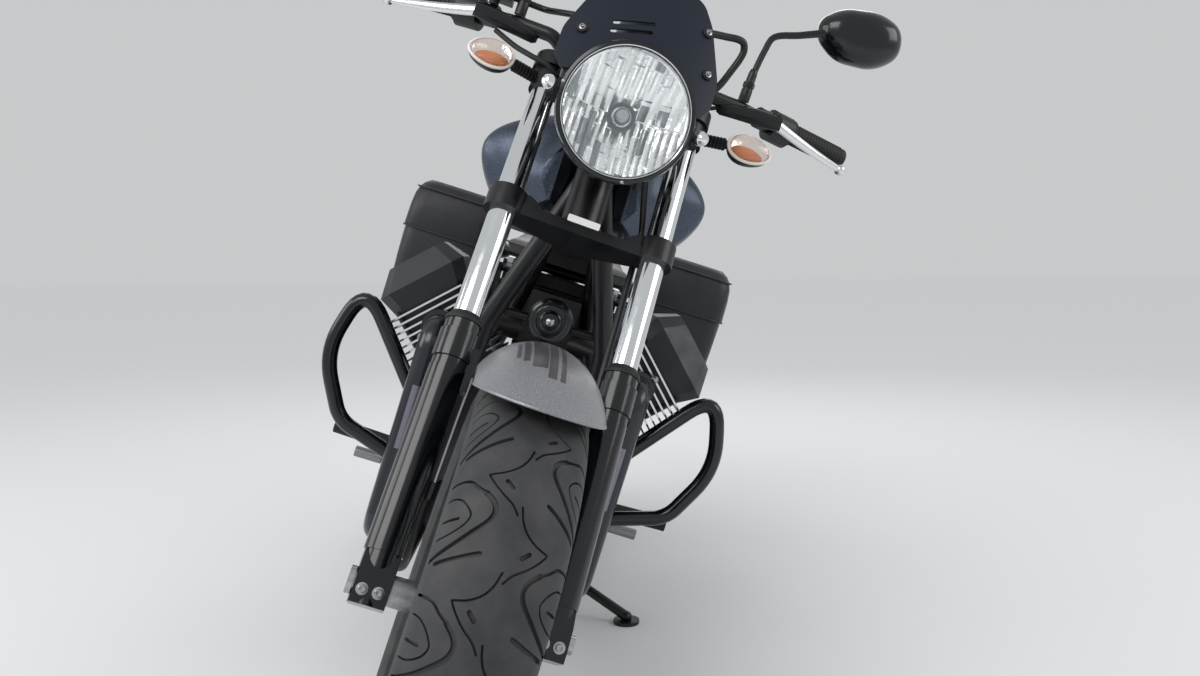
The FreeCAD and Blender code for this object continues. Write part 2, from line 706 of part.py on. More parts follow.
def make_mirrors():
    """A bent stalk that rises from the handlebar and carries an oval head."""
    start, end = bar_points_half[-2:]
    foot = start + (end - start).normalize() * mirror_along + Vector(3, -2, float(d.bar_radius + d.gap) + 0.4)
    boss = Part.makeCylinder(9, 24, foot)
    elbow = foot + Vector(-12, 10, 110)
    neck = foot + Vector(-14, 92, 150)
    stalk = tube([foot, foot + Vector(0, 0, 30), elbow, neck], 16, 5)
    half = float(d.mirror_half)
    middle = neck + Vector(0, half - 12, 16)
    # The head is an oval, given by its corners and their radii, that narrows to a domed back
    outline = [Vector(0, -half, -10), Vector(0, -half * 0.55, -42), Vector(0, half * 0.4, -50),
               Vector(0, half, -26), Vector(0, half, 20), Vector(0, half * 0.4, 43),
               Vector(0, -half * 0.5, 43), Vector(0, -half, 22)]
    radii = [22, 40, 50, 36, 30, 40, 40, 22]
    sections = []
    for ahead, share in ((0, 1.0), (14, 0.96), (30, 0.78), (40, 0.46)):
        corners = [point * share + Vector(ahead, 0, 0) for point in outline]
        sections.append(rounded_wire(corners, [radius * share * 0.6 for radius in radii]))
    head = Part.makeLoft(sections, True, True)
    head.translate(middle + Vector(-16, 0, 0))
    head.rotate(middle, X_AXIS, 14)
    mirror = stalk.fuse([boss, head])
    put(shaped("mirrors", with_twin(mirror)), "steered")


def oval_lamp(middle):
    """An indicator's egg-shaped body, widest across the motorcycle."""
    stretch = FreeCAD.Matrix()
    stretch.scale(30, 36, 24)
    lamp = Part.makeSphere(1).transformGeometry(stretch)
    lamp.translate(middle)
    return lamp


# Ring of the headlight bracket round each fork tube
bracket_ring_radius = 24
bracket_ring_low = 748
bracket_ring_high = 783.7


def make_front_indicators():
    """Oval lamps on stalks that stand on the headlight brackets."""
    middle = Vector(34, 199, 754)
    root = at(4, d.fork_half + 16, 766)
    stalk = rod(root, middle, 6)
    # Raised ribs round the rubber stalk
    along = (middle - root).normalize()
    for rib in range(4):
        foot = root + along * (16 + 6 * rib)
        stalk = stalk.fuse(rod(foot, foot + along * 3, 8))
    bracket = Part.makeCylinder(bracket_ring_radius + float(d.gap), 80, at(0, d.fork_half, 730))
    piece = stalk.cut(bracket).fuse(oval_lamp(middle))
    put(shaped("front_indicators", with_twin(piece)), "fork")


# Headlight, flyscreen and instrument

lamp_middle = at(d.lamp_forward, 0, d.lamp_height)


def make_headlight():
    """Shell with its rim, a reflector bowl inside and a domed lens in front."""
    rim = d.lamp_rim_radius
    glass = d.lamp_glass_radius
    wall = d.lamp_wall
    depth = d.lamp_depth
    shell = turned_body("headlight_bucket", [
        (glass + d.gap, 4), (rim, 2), (rim, -20), (rim - 4, -24), (rim - 6, -depth * 0.45),
        (rim * 0.72, -depth * 0.8), (rim * 0.3, -depth), (0, -depth), (0, -depth + wall),
        (rim * 0.28, -depth + wall), (rim * 0.7, -depth * 0.78), (rim - 6 - wall, -depth * 0.44),
        (rim - 7, -24), (glass + d.gap, -20)])
    reflector = turned_body("headlight_reflector", [
        (glass, -12), (glass, -15), (glass * 0.8, -42), (glass * 0.45, -66), (16, -74), (16, -84),
        (0, -84), (0, -30), (9, -34), (14, -44), (14, -71), (glass * 0.43, -63), (glass * 0.78, -39),
        (glass - 3, -12)])
    lens = turned_body("headlight_lens", [
        (glass, -11.7), (glass, 2), (glass * 0.75, 8), (glass * 0.4, 12.5), (0, 14), (0, 10.5),
        (glass * 0.39, 9.5), (glass * 0.72, 5), (glass - 4, -0.5), (glass - 4, -11.7)])
    put(grouped("headlight_shell", [shell, reflector]), "lamp")
    put(lens, "lamp")


def headlight_ear():
    """An ear from the left fork tube to the side of the shell, in the fork's frame."""
    side = fork_frame.inverse().multVec(lamp_middle + at(-34, d.lamp_rim_radius - 4, 0))
    ring = Part.makeCylinder(bracket_ring_radius, bracket_ring_high - bracket_ring_low,
                             at(0, d.fork_half, bracket_ring_low))
    corners = [(10, 750), (10, 783), (44, 783), (side.x + 16, side.z + 12), (side.x + 8, side.z - 16),
               (side.x - 14, side.z - 10), (34, 744)]
    outline = [Vector(ahead, float(d.fork_half) - 21, up) for ahead, up in corners]
    plate = Part.Face(Part.makePolygon(outline + outline[:1])).extrude(Y_AXIS * 8)
    post = rod(side, side + Y_AXIS * 18, 13)
    ear = ring.fuse([plate, post])
    # The ear ends on the shell, which is round about the lamp's own axis
    shell = rod(lamp_middle - X_AXIS * float(d.lamp_depth), lamp_middle + X_AXIS * 10,
                d.lamp_rim_radius + d.gap)
    shell.Placement = fork_frame.inverse() * shell.Placement
    tube_space = Part.makeCylinder(float(d.fork_tube_radius + d.gap / 2), 80, at(0, d.fork_half, 720))
    return ear.cut(shell).cut(tube_space)


# Flyscreen outline: across from the middle and up from the lamp's middle, right half from the bottom
screen_outline = [(104, 40), (118, 62), (118, 108), (102, 152), (88, 190), (64, 226), (0, 235)]
screen_tilt = 24
screen_curve = 420
screen_foot = lamp_middle + Vector(-50, 0, 60)


def make_flyscreen():
    """A thin curved shield with a cut-out over the headlight and two slots.

    The slots slope on the screen, and lie level while the motorcycle leans on its stand.
    """
    half = float(d.screen_half) / screen_outline[1][0]
    tall = float(d.screen_height) / screen_outline[-1][1]
    right = [Vector(0, across * half, up * tall - 60) for across, up in screen_outline[:-1]]
    left = [Vector(0, -point.y, point.z) for point in reversed(right)]
    radii = [8, 24, 60, 120, 60, 30]
    slab = Part.Face(rounded_wire(right + left, radii + radii[::-1])).extrude(X_AXIS * 120)
    slab.translate(Vector(-60, 0, 0))
    curve = Part.makeCylinder(screen_curve, 400, Vector(-screen_curve, 0, -150))
    curve = curve.cut(Part.makeCylinder(screen_curve - float(d.screen_thick), 400,
                                        Vector(-screen_curve, 0, -150)))
    screen = slab.common(curve)
    cutout = Part.makeCylinder(float(d.lamp_rim_radius) + 5, 200, Vector(-100, 0, -60), X_AXIS)
    screen = screen.cut(cutout)
    for up in (68, 83):
        slot = Part.Face(rounded_wire([Vector(0, -55, up - 3), Vector(0, 7, up - 3),
                                       Vector(0, 7, up + 3), Vector(0, -55, up + 3)],
                                      [2.9, 2.9, 2.9, 2.9])).extrude(X_AXIS * 120)
        slot.translate(Vector(-60, 0, 0))
        slot.rotate(Vector(0, -24, up), X_AXIS, d.lean_angle.value)
        screen = screen.cut(slot)
    screen.rotate(ORIGIN, Y_AXIS, -screen_tilt)
    screen.translate(screen_foot)
    put(shaped("flyscreen", screen), "steered")


def on_screen(across, up, behind):
    """A point behind the screen's face, across and up from the lamp's middle."""
    sag = screen_curve - math.sqrt(screen_curve ** 2 - across ** 2)
    point = Vector(-sag - float(d.screen_thick) - behind, across, up - 60)
    return screen_foot + Rotation(Y_AXIS, -screen_tilt).multVec(point)


def screen_strap():
    """A steel strap from the left fork tube that carries the screen at two bolts."""
    lower = on_screen(90, 82, 6)
    upper = on_screen(80, 138, 6)
    root = turned_fork_point(20, float(d.fork_half) - 12, 770)
    strap = rod(root, lower, 5).fuse([rod(lower, upper, 5), Part.makeSphere(5, lower)])
    for bolt, (across, up) in ((lower, (90, 82)), (upper, (80, 138))):
        strap = strap.fuse(rod(bolt, on_screen(across, up, 1.8), 6))
    # The strap stands on the ring of the headlight's ear
    tube_space = Part.makeCylinder(float(d.fork_tube_radius + d.gap / 2), 80, at(0, d.fork_half, 720))
    clamp_space = block(at(-60, 0, bracket_ring_high), at(60, 160, d.clamp_upper + 60))
    for shape in (tube_space, clamp_space):
        shape.Placement = fork_frame * shape.Placement
    return strap.cut(tube_space).cut(clamp_space)


def make_lamp_brackets():
    """Headlight ears and screen straps, on both fork tubes."""
    ear = headlight_ear()
    ear.Placement = fork_frame * ear.Placement
    strap = screen_strap()
    put(shaped("lamp_brackets", with_twin(ear.fuse(strap))), "steered")


def turned_fork_point(ahead, across, up):
    return fork_frame.multVec(at(ahead, across, up))


def make_instrument():
    """A round speedometer above the upper clamp, on a short bracket."""
    body = doc.addObject("PartDesign::Body", "instrument")
    case = new_sketch(body, "XY_Plane", "instrument_profile")
    draw_outline(case, [(0, 0), (34, 0), (42, 10), (42, 44), (39, 48), (36, 48), (36, 44), (0, 44)])
    new_turning(body, case, "instrument_turning")
    leg = new_sketch(body, "XY_Plane", "instrument_leg_outline", Size(-9, "-9"))
    draw_outline(leg, [(-8, 2), (-30, 2), (-57, 5), (-76, 9), (-76, 2.9), (-56.4, -1.2), (-40, -8),
                       (-8, -8)])
    new_pad(body, leg, 18, "instrument_leg")
    put(body, "instrument")


# Front mudguard, brake and axle

def arched_section(radius, half, depth, thick):
    """Corners of an arched sheet seen along the wheel, worked out on two arcs."""
    bow = (depth * depth + half * half) / (depth * 2)
    centre = radius - bow
    spread = math.degrees(math.asin(float(half) / float(bow)))
    steps = 8
    outer = []
    inner = []
    for step in range(steps + 1):
        angle = math.radians(spread * (2.0 * step / steps - 1))
        outer.append((centre + bow * math.cos(angle), bow * math.sin(angle)))
        inner.append((centre + (bow - thick) * math.cos(angle), (bow - thick) * math.sin(angle)))
    return outer + inner[::-1]


# Arc of the front mudguard: its rear end from level, its crown's front end, and the slope of its lip
mudguard_rear_angle = 14
mudguard_front_angle = 59
mudguard_lip_slope = 0.118


def make_front_mudguard():
    """A short arched sheet whose front lip runs nearly level back to its sides."""
    section = arched_section(d.mudguard_front_radius, d.mudguard_front_half, Size(54, "54"),
                             d.mudguard_thick)
    sweep = 180 - mudguard_rear_angle - mudguard_front_angle
    body = turned_body("front_mudguard", section, angle=Size(sweep, "%d" % sweep))
    crown = float(d.mudguard_front_radius)
    tip = math.radians(mudguard_front_angle)
    tip_ahead = crown * math.cos(tip)
    tip_up = crown * math.sin(tip)
    # What lies under the lip is cut off, from a little ahead of the axle to beyond the tip
    low_end = 60.0
    lip = [(low_end, tip_up - mudguard_lip_slope * (tip_ahead - low_end)),
           (crown, tip_up + mudguard_lip_slope * (crown - tip_ahead)), (crown, -20.0), (low_end, -20.0)]
    turn = math.radians(180 - mudguard_rear_angle)
    corners = [(ahead * math.cos(turn) + up * math.sin(turn), -ahead * math.sin(turn) + up * math.cos(turn))
               for ahead, up in lip]
    sketch = new_sketch(body, "XZ_Plane", "mudguard_lip_outline")
    draw_outline(sketch, corners)
    cut = body.newObject("PartDesign::Pocket", "mudguard_lip_cut")
    cut.Profile = sketch
    cut.Type = "ThroughAll"
    cut.Midplane = True
    put(body, "front_mudguard")


def make_front_axle():
    """Hollow spindle with a spacer each side of the hub."""
    body = doc.addObject("PartDesign::Body", "front_axle")
    sketch = new_sketch(body, "XY_Plane", "front_axle_profile")
    bore = d.axle_bore
    ends = d.fork_half + 30
    face = d.fork_half - 23 - d.gap
    draw_outline(sketch, [
        (bore, -ends), (d.axle_radius + 5, -ends), (d.axle_radius + 5, -ends + 7),
        (d.axle_radius, -ends + 7), (d.axle_radius, -face), (d.axle_radius + 7, -face),
        (d.axle_radius + 7, -d.hub_half - 1), (d.axle_radius, -d.hub_half - 1),
        (d.axle_radius, d.disc_face + d.disc_thick + 1), (d.axle_radius + 4, d.disc_face + d.disc_thick + 1),
        (d.axle_radius + 4, face), (d.axle_radius, face), (d.axle_radius, ends), (bore, ends)])
    new_turning(body, sketch, "front_axle_turning")
    put(body, "front_axle")


def caliper_shape(radius):
    """A caliper over the rim of a disc, with a slot for the disc."""
    low = float(d.disc_face) - 16
    high = float(d.disc_face + d.disc_thick) + 16
    body = block(Vector(-34, low, -26), Vector(34, high, 30))
    body = body.fuse(rod(Vector(-18, high - 1, -4), Vector(-18, high + 6, -4), 14))
    body = body.fuse(rod(Vector(18, high - 1, -4), Vector(18, high + 6, -4), 14))
    slot = block(Vector(-40, float(d.disc_face) - 5.4, -40),
                 Vector(40, float(d.disc_face + d.disc_thick) + 5.4, 10))
    body = body.cut(slot)
    body.translate(Vector(0, 0, radius))
    return body


def make_front_caliper():
    """Caliper behind the left slider, on a lug, with the hose that feeds it."""
    caliper = caliper_shape(float(d.disc_radius) - 4)
    caliper.rotate(ORIGIN, Y_AXIS, -24)
    half = float(d.fork_half)
    lug = block(Vector(-84, half - 22, 118), Vector(-10, half - 8, 146))
    slider = Part.makeCylinder(float(d.slider_radius + d.gap), 400, at(0, d.fork_half, -40))
    caliper = caliper.fuse(lug).cut(slider)
    put(shaped("front_caliper", caliper.fuse(brake_hose())), "fork")


def brake_hose():
    """Hose from the caliper up behind the left fork tube and over to the brake reservoir."""
    inner = float(d.fork_half) - 21.5
    start, end = bar_points_half[-2:]
    perch = start + (end - start).normalize() * perch_along
    port = fork_frame.inverse().multVec(Vector(perch.x + 4, -perch.y + 28 + float(d.gap), perch.z + 38))
    low_clamp = float(d.clamp_lower)
    points = [Vector(-66, inner - 6, 160), Vector(-62, inner, 212), Vector(-33, inner, 300),
              Vector(-33, inner, low_clamp + 62), Vector(12, 66, low_clamp + 136),
              Vector(14, -20, low_clamp + 164), Vector(32, -62, low_clamp + 246),
              Vector(34, -104, port.z - 26), port + Y_AXIS * 52, port]
    return tube(points, 22, 5)


make_fork_tubes()
make_fork_sliders()
make_fork_clamps()
make_handlebar()
make_grips()
make_hand_levers()
make_switch_blocks()
make_mirrors()
make_front_indicators()
make_headlight()
make_flyscreen()
make_lamp_brackets()
make_instrument()
make_front_mudguard()
make_front_axle()
make_front_caliper()


# Side stand: its foot lies flat on the floor of the parked motorcycle

stand_pivot = Vector(640, 150, 158)
stand_spot = Vector(leaned.multVec(at(d.stand_foot_forward, 0, 0)).x, float(d.stand_reach), 0)
floor_up = leaned.inverse().Rotation.multVec(Z_AXIS)
stand_foot = leaned.inverse().multVec(stand_spot)
stand_ankle = stand_foot + floor_up * 13
stand_folded = Vector(-0.995, 0.10, 0.02)
stand_axis = (stand_ankle - stand_pivot).cross(stand_folded).normalize()


def make_side_stand():
    """Leg from a hinge under the cradle out to a flat foot on the floor."""
    pad = Part.makeCylinder(26, 7, stand_foot, floor_up)
    leg = rod(stand_pivot, stand_ankle, 10)
    ball = Part.makeSphere(11, stand_ankle)
    hub = rod(stand_pivot - stand_axis * 12, stand_pivot + stand_axis * 12, 15)
    stand = leg.fuse([ball, hub, pad])
    stand = stand.cut(rod(stand_pivot - stand_axis * 20, stand_pivot + stand_axis * 20, 6.4))
    put(shaped("side_stand", stand), "side_stand")


def stand_bracket():
    """Pin and plate that carry the stand on the left cradle tube."""
    pin = rod(stand_pivot - stand_axis * 18, stand_pivot + stand_axis * 18, 6)
    top = rod(stand_pivot + stand_axis * 12.5, stand_pivot + stand_axis * 20, 15)
    plate = Part.makeBox(30, 48, 7.5, Vector(-15, -48, 12.5))
    plate.Placement = Placement(stand_pivot, Rotation(X_AXIS, Vector(), stand_axis, "ZXY"))
    return pin.fuse([top, plate])


make_side_stand()


# Frame

head_low = turned_fork_point(-fork_offset, 0, float(d.clamp_lower + d.clamp_lower_thick) + 2)
head_high = turned_fork_point(-fork_offset, 0, float(d.clamp_upper) - 2)
down_tube_forward = float(d.cylinder_forward) + 165
rear_tube_forward = 500
rail_half = 100
rail_end = -190
horn_middle = Vector(down_tube_forward + 40, 0, 668)


def head_point(share, side, spread):
    point = head_low + (head_high - head_low) * share
    return point + Vector(-6, side * spread, 0)


def frame_loop(side):
    """One side's main loop: head, down tube, cradle, rear tube and top rail back to the head."""
    half = side * float(d.cradle_half)
    low = float(d.cradle_height)
    points = [
        head_point(0.36, side, 14),
        Vector(down_tube_forward + 38, side * 96, 640),
        Vector(down_tube_forward, side * 112, 420),
        Vector(down_tube_forward - 4, half, low),
        Vector(rear_tube_forward, half, low),
        Vector(rear_tube_forward - 30, half, 420),
        Vector(rear_tube_forward + 140, side * 62, 722),
        Vector(770, side * 42, 850),
        head_point(0.58, side, 14),
    ]
    return tube(points, 55, d.frame_radius)


def cover_and_tank_posts():
    """Left posts that carry the side cover and the fuel tank."""
    cover = float(d.cradle_half + d.frame_radius)
    lower = rod(Vector(549, 94, 560), Vector(549, cover, 560), 6)
    hook = rod(Vector(420, rail_half + 12, float(d.seat_base) - 14), Vector(420, rail_half + 12, 700), 6)
    upper = rod(Vector(420, rail_half + 12, 704), Vector(420, cover, 704), 6)
    cushion = rod(Vector(860, 35, 866), Vector(860, 35, 902.9), 8)
    return [lower, hook, upper, cushion]


def horn_strap():
    """A cross tube between the down tubes with a boss for the horn."""
    back = horn_middle.x - float(d.gap)
    strap = rod(Vector(back - 8, -90, horn_middle.z - 6), Vector(back - 8, 90, horn_middle.z - 6), 7)
    return strap.fuse(rod(Vector(back - 15, 0, horn_middle.z), Vector(back, 0, horn_middle.z), 11))


def make_frame():
    parts = []
    rail_height = float(d.seat_base - d.rail_radius) - 0.5
    rail_low = float(d.cradle_height)
    for side in (-1, 1):
        parts.append(frame_loop(side))
        half = side * float(d.cradle_half)
        seat_rail = [Vector(rear_tube_forward + 130, side * 63, 722),
                     Vector(470, side * rail_half, rail_height),
                     Vector(rail_end, side * rail_half, rail_height)]
        parts.append(tube(seat_rail, 60, d.rail_radius))
        stay = [Vector(rear_tube_forward - 28, half, 440), Vector(120, side * 108, rail_height - 6)]
        parts.append(rod(stay[0], stay[1], 10))
        boss = rod(Vector(140, side * (rail_half - 5), rail_height - 20),
                   Vector(140, side * (float(d.shock_half) + 22), rail_height - 20), 8)
        parts.append(boss)
        plate = block(Vector(410, half - 4, 246), Vector(rear_tube_forward - 6, half + 4, 360))
        parts.append(plate)
    # The rear cross tube lies on the mudguard's crown
    crown = float(d.tyre_rear_radius + d.mudguard_rear_radius + d.gap) + 9
    parts.append(rod(Vector(0, -rail_half, crown), Vector(0, rail_half, crown), 9))
    parts.append(rod(Vector(470, -rail_half, rail_height), Vector(470, rail_half, rail_height), 10))
    cross = Vector(rear_tube_forward + 60, 0, rail_low)
    parts.append(rod(cross - Y_AXIS * float(d.cradle_half), cross + Y_AXIS * float(d.cradle_half), 12))
    rail = bag_rail()
    posts = cover_and_tank_posts()
    parts += [rail, rail.mirror(ORIGIN, Y_AXIS), stand_bracket(), horn_strap()]
    parts += posts + [post.mirror(ORIGIN, Y_AXIS) for post in posts]
    head = rod(head_low, head_high, d.head_radius)
    frame = head.fuse(parts)
    along = (head_high - head_low).normalize()
    frame = frame.cut(rod(head_low - along * 5, head_high + along * 5, d.head_bore))
    put(shaped("main_frame", frame))


# Engine

crankcase_back = float(d.cylinder_forward) - 180


def station(forward):
    """How far forward a sketch stands, as text that a sketch's expression can hold."""
    return Size(forward, "%.3f" % forward)


def make_engine():
    """Crankcase with 45 degree cylinder faces, timing cover, round cover, sump and gearbox."""
    body = doc.addObject("PartDesign::Body", "engine_block")
    case = new_sketch(body, "YZ_Plane", "crankcase_outline", station(crankcase_back))
    half = d.crankcase_half
    crank = d.crank_height
    diagonal = d.cylinder_base * math.sqrt(2)
    top = Size(28, "28")
    draw_outline(case, [
        (-half + 34, crank - 180), (half - 34, crank - 180), (half, crank - 120),
        (half, crank + diagonal - half), (top, crank + diagonal - top), (-top, crank + diagonal - top),
        (-half, crank + diagonal - half), (-half, crank - 120)])
    new_pad(body, case, d.crankcase_length, "crankcase")
    front = crankcase_back + float(d.crankcase_length)
    cover = new_sketch(body, "YZ_Plane", "timing_cover_outline", station(front))
    draw_outline(cover, [(-84, crank - 120), (84, crank - 120), (96, crank - 20), (58, crank + 70),
                         (-58, crank + 70), (-96, crank - 20)])
    new_pad(body, cover, 22, "timing_cover")
    alternator = new_sketch(body, "YZ_Plane", "alternator_cover_outline", station(front + 22))
    draw_circle(alternator, 0, crank, 66)
    new_pad(body, alternator, 20, "alternator_cover")
    nose = new_sketch(body, "YZ_Plane", "alternator_nose_outline", station(front + 42))
    draw_circle(nose, 0, crank, 44)
    new_pad(body, nose, 6, "alternator_nose")
    sump = new_sketch(body, "YZ_Plane", "sump_outline", station(crankcase_back + 20))
    draw_outline(sump, [(-76, crank - 175), (-76, crank - 222), (76, crank - 222), (76, crank - 175)])
    new_pad(body, sump, 230, "sump")
    fin = new_sketch(body, "YZ_Plane", "sump_fin_outline", station(crankcase_back + 34))
    draw_outline(fin, [(-88, crank - 178), (-88, crank - 228), (88, crank - 228), (88, crank - 178)])
    sump_fin = new_pad(body, fin, 4, "sump_fin")
    fins = body.newObject("PartDesign::LinearPattern", "sump_fins")
    fins.Originals = [sump_fin]
    fins.Direction = (fin, ["N_Axis"])
    fins.Length = 198
    fins.Occurrences = 10
    body.Tip = fins
    bell = new_sketch(body, "YZ_Plane", "bell_outline", station(crankcase_back))
    draw_circle(bell, 0, crank - 10, 112)
    tail = new_sketch(body, "YZ_Plane", "gearbox_outline", station(crankcase_back - 170))
    draw_circle(tail, 0, crank - 80, 62)
    gearbox = body.newObject("PartDesign::AdditiveLoft", "gearbox")
    gearbox.Profile = bell
    gearbox.Sections = [tail]
    gearbox.Ruled = True
    put(body)


def rounded_plate_sketch(body, label, half_along, half_across, corner, lift):
    """A plate outline with cut corners, square to the cylinder's axis."""
    sketch = new_sketch(body, "XY_Plane", label, lift)
    draw_outline(sketch, [
        (-half_along + corner, -half_across), (half_along - corner, -half_across),
        (half_along, -half_across + corner), (half_along, half_across - corner),
        (half_along - corner, half_across), (-half_along + corner, half_across),
        (-half_along, half_across - corner), (-half_along, -half_across + corner)])
    return sketch


def stacked_fins(body, label, sketch, count):
    """Fins repeated up the cylinder's axis at the fin pitch."""
    fin = new_pad(body, sketch, d.fin_thick, label)
    pattern = body.newObject("PartDesign::LinearPattern", label + "_stack")
    pattern.Originals = [fin]
    pattern.Direction = (sketch, ["N_Axis"])
    bind(pattern, Length=d.fin_pitch * (count - 1))
    bind_count(pattern, count)
    body.Tip = pattern
    return pattern


def make_cylinder(label, inward):
    """A finned barrel and head with its rocker cover and ports, drawn with its axis upright.

    Inward is the sign of the sketch's up direction that points at the middle of the motorcycle.
    """
    body = doc.addObject("PartDesign::Body", label)
    base = d.cylinder_base + d.gap
    flange = rounded_plate_sketch(body, label + "_flange_outline", Size(62, "62"), Size(60, "60"), 12, base)
    new_pad(body, flange, 12, label + "_flange")
    barrel_height = d.fin_pitch * d.barrel_fins
    barrel = new_sketch(body, "XY_Plane", label + "_barrel_outline", base)
    draw_circle(barrel, 0, 0, 54)
    new_pad(body, barrel, barrel_height + 16, label + "_barrel")
    head_base = base + 12 + barrel_height
    head = rounded_plate_sketch(body, label + "_head_outline", Size(60, "60"), Size(52, "52"), 14,
                                head_base)
    head_height = d.fin_pitch * d.head_fins
    new_pad(body, head, head_height, label + "_head")
    first = rounded_plate_sketch(body, label + "_barrel_fin_outline", d.fin_half, d.fin_half - 4, 16,
                                 base + 20)
    stacked_fins(body, label + "_barrel_fin", first, d.barrel_fins)
    second = rounded_plate_sketch(body, label + "_head_fin_outline", d.fin_half + 4, d.fin_half, 16,
                                  head_base + 6)
    stacked_fins(body, label + "_head_fin", second, d.head_fins)
    cover_base = head_base + head_height - 1
    # Sections up the cover: share of its height, half length, outer and inner reach, corner
    sections = []
    for share, half_along, outer, inner, corner in ((0, 72, -62, 76, 18), (0.5, 77, -72, 88, 20),
                                                    (1, 50, -38, 68, 16)):
        sketch = new_sketch(body, "XY_Plane", label + "_rocker_outline", cover_base + d.rocker_height * share)
        outline = [(-half_along + corner, outer), (half_along - corner, outer), (half_along, outer + corner),
                   (half_along, inner - corner), (half_along - corner, inner),
                   (-half_along + corner, inner), (-half_along, inner - corner),
                   (-half_along, outer + corner)]
        draw_outline(sketch, [(along, inward * across) for along, across in outline])
        sections.append(sketch)
    cover = body.newObject("PartDesign::AdditiveLoft", label + "_rocker_cover")
    cover.Profile = sections[0]
    cover.Sections = sections[1:]
    cover.Ruled = True
    port_height = head_base + head_height * 0.4
    port = new_sketch(body, "YZ_Plane", label + "_exhaust_port_outline", Size(50, "50"))
    draw_circle(port, 0, port_height, 27)
    new_pad(body, port, d.fin_half + 12 - 50, label + "_exhaust_port")
    intake = new_sketch(body, "YZ_Plane", label + "_intake_port_outline", Size(-50, "-50"))
    draw_circle(intake, 0, port_height, 25)
    new_pad(body, intake, d.fin_half + 12 - 50, label + "_intake_port", backwards=True)
    return body, port_height


def make_cylinders():
    for label, inward in (("cylinder_left", -1), ("cylinder_right", 1)):
        body, port_height = make_cylinder(label, inward)
        put(body, label)
    return port_height


port_height = make_cylinders()
slant = math.radians(float(d.cylinder_angle))
port_across = float(port_height) * math.sin(slant)
port_up = float(d.crank_height) + float(port_height) * math.cos(slant)
port_face = float(d.cylinder_forward + d.fin_half) + 12


def intake_duct():
    """Throttle body and rubber duct behind the left head, into the air box."""
    duct = rod(Vector(float(d.cylinder_forward) - float(d.fin_half) - 12.3, port_across, port_up),
               Vector(700, port_across, port_up), 25)
    throat = tube([Vector(701, port_across, port_up), Vector(655, port_across - 14, port_up + 2),
                   Vector(628, 48, port_up + 8)], 40, 22)
    return duct.fuse(throat)


def make_air_box():
    """Air box and battery under the seat, between the frame tubes."""
    box = block(Vector(505, -52, 560), Vector(650, 52, 690))
    battery = block(Vector(350, -66, 560), Vector(505, 66, 720))
    lug = rod(Vector(505, -90, 690), Vector(505, 90, 690), 6)
    duct = intake_duct()
    put(shaped("air_box", box.fuse([battery, lug, duct, duct.mirror(ORIGIN, Y_AXIS)])))


# Height of the silencers' middle at their front end, low enough to draw the rear axle out above them
silencer_low = 243


def silencer_profile(length):
    """Corners of the silencer as (radius, along): collar, swell, barrel, taper and open mouth."""
    wide = float(d.silencer_radius)
    return [(0, 0), (28, 0), (28, 14), (wide, 74), (wide, length - 80), (32, length - 8), (30, length),
            (24, length), (24, length - 80), (0, length - 80)]


def exhaust_shape():
    """Header pipe in its heat shield, joined to a silencer with a turned-in end."""
    far = float(d.silencer_half)
    half = port_across
    points = [Vector(port_face + 0.3, half, port_up), Vector(port_face + 52, half, port_up),
              Vector(port_face + 52, half, 245), Vector(port_face - 60, half, 232),
              Vector(430, half, 236), Vector(330, far, silencer_low), Vector(285, far, silencer_low)]
    pipe = tube(points, 34, d.exhaust_radius)
    collar = rod(points[0], points[0] + X_AXIS * 12, d.exhaust_radius + 8)
    start = Vector(300, far, silencer_low)
    along = (Vector(-150, far, silencer_low + 14) - start).normalize()
    corners = [Vector(radius, 0, up) for radius, up in silencer_profile(440)]
    silencer = Part.Face(Part.makePolygon(corners + corners[:1])).revolve(ORIGIN, Z_AXIS, 360)
    silencer.Placement = Placement(start, Rotation(Z_AXIS, along))
    hanger = rod(Vector(120, far, silencer_low + 34), Vector(120, far, silencer_low + 90), 8)
    mouth = Part.makeCylinder(24, 90, start + along * 360, along)
    return pipe.fuse([collar, silencer, hanger.cut(mouth)])


def make_exhausts():
    shape = exhaust_shape()
    put(shaped("exhaust_left", shape))
    put(shaped("exhaust_right", shape.mirror(ORIGIN, Y_AXIS)))


def make_horn():
    """Round horn with a centre bolt, on a strap from the cross of the down tubes."""
    body = turned_body("horn", [(0, 0), (30, 0), (36, 6), (36, 12), (32, 22), (12, 26), (12, 30), (6, 30),
                                (6, 34), (0, 34)])
    put(body, "horn")


# Tank, seat, covers and bags

# Fuel tank stations: x, half width, crease height, top height, half bottom, bottom height
TANK_STATIONS = [
    (636, 62, 822, 858, 50, 800),
    (700, 110, 846, 906, 84, 792),
    (820, 165, 874, 968, 118, 790),
    (930, 187, 890, 1000, 130, 792),
    (1005, 190, 896, 1002, 128, 800),
    (1027, 164, 893, 994, 112, 812),
    (1051, 110, 886, 972, 84, 832),
    (1080, 80, 884, 955, 62, 848),
]


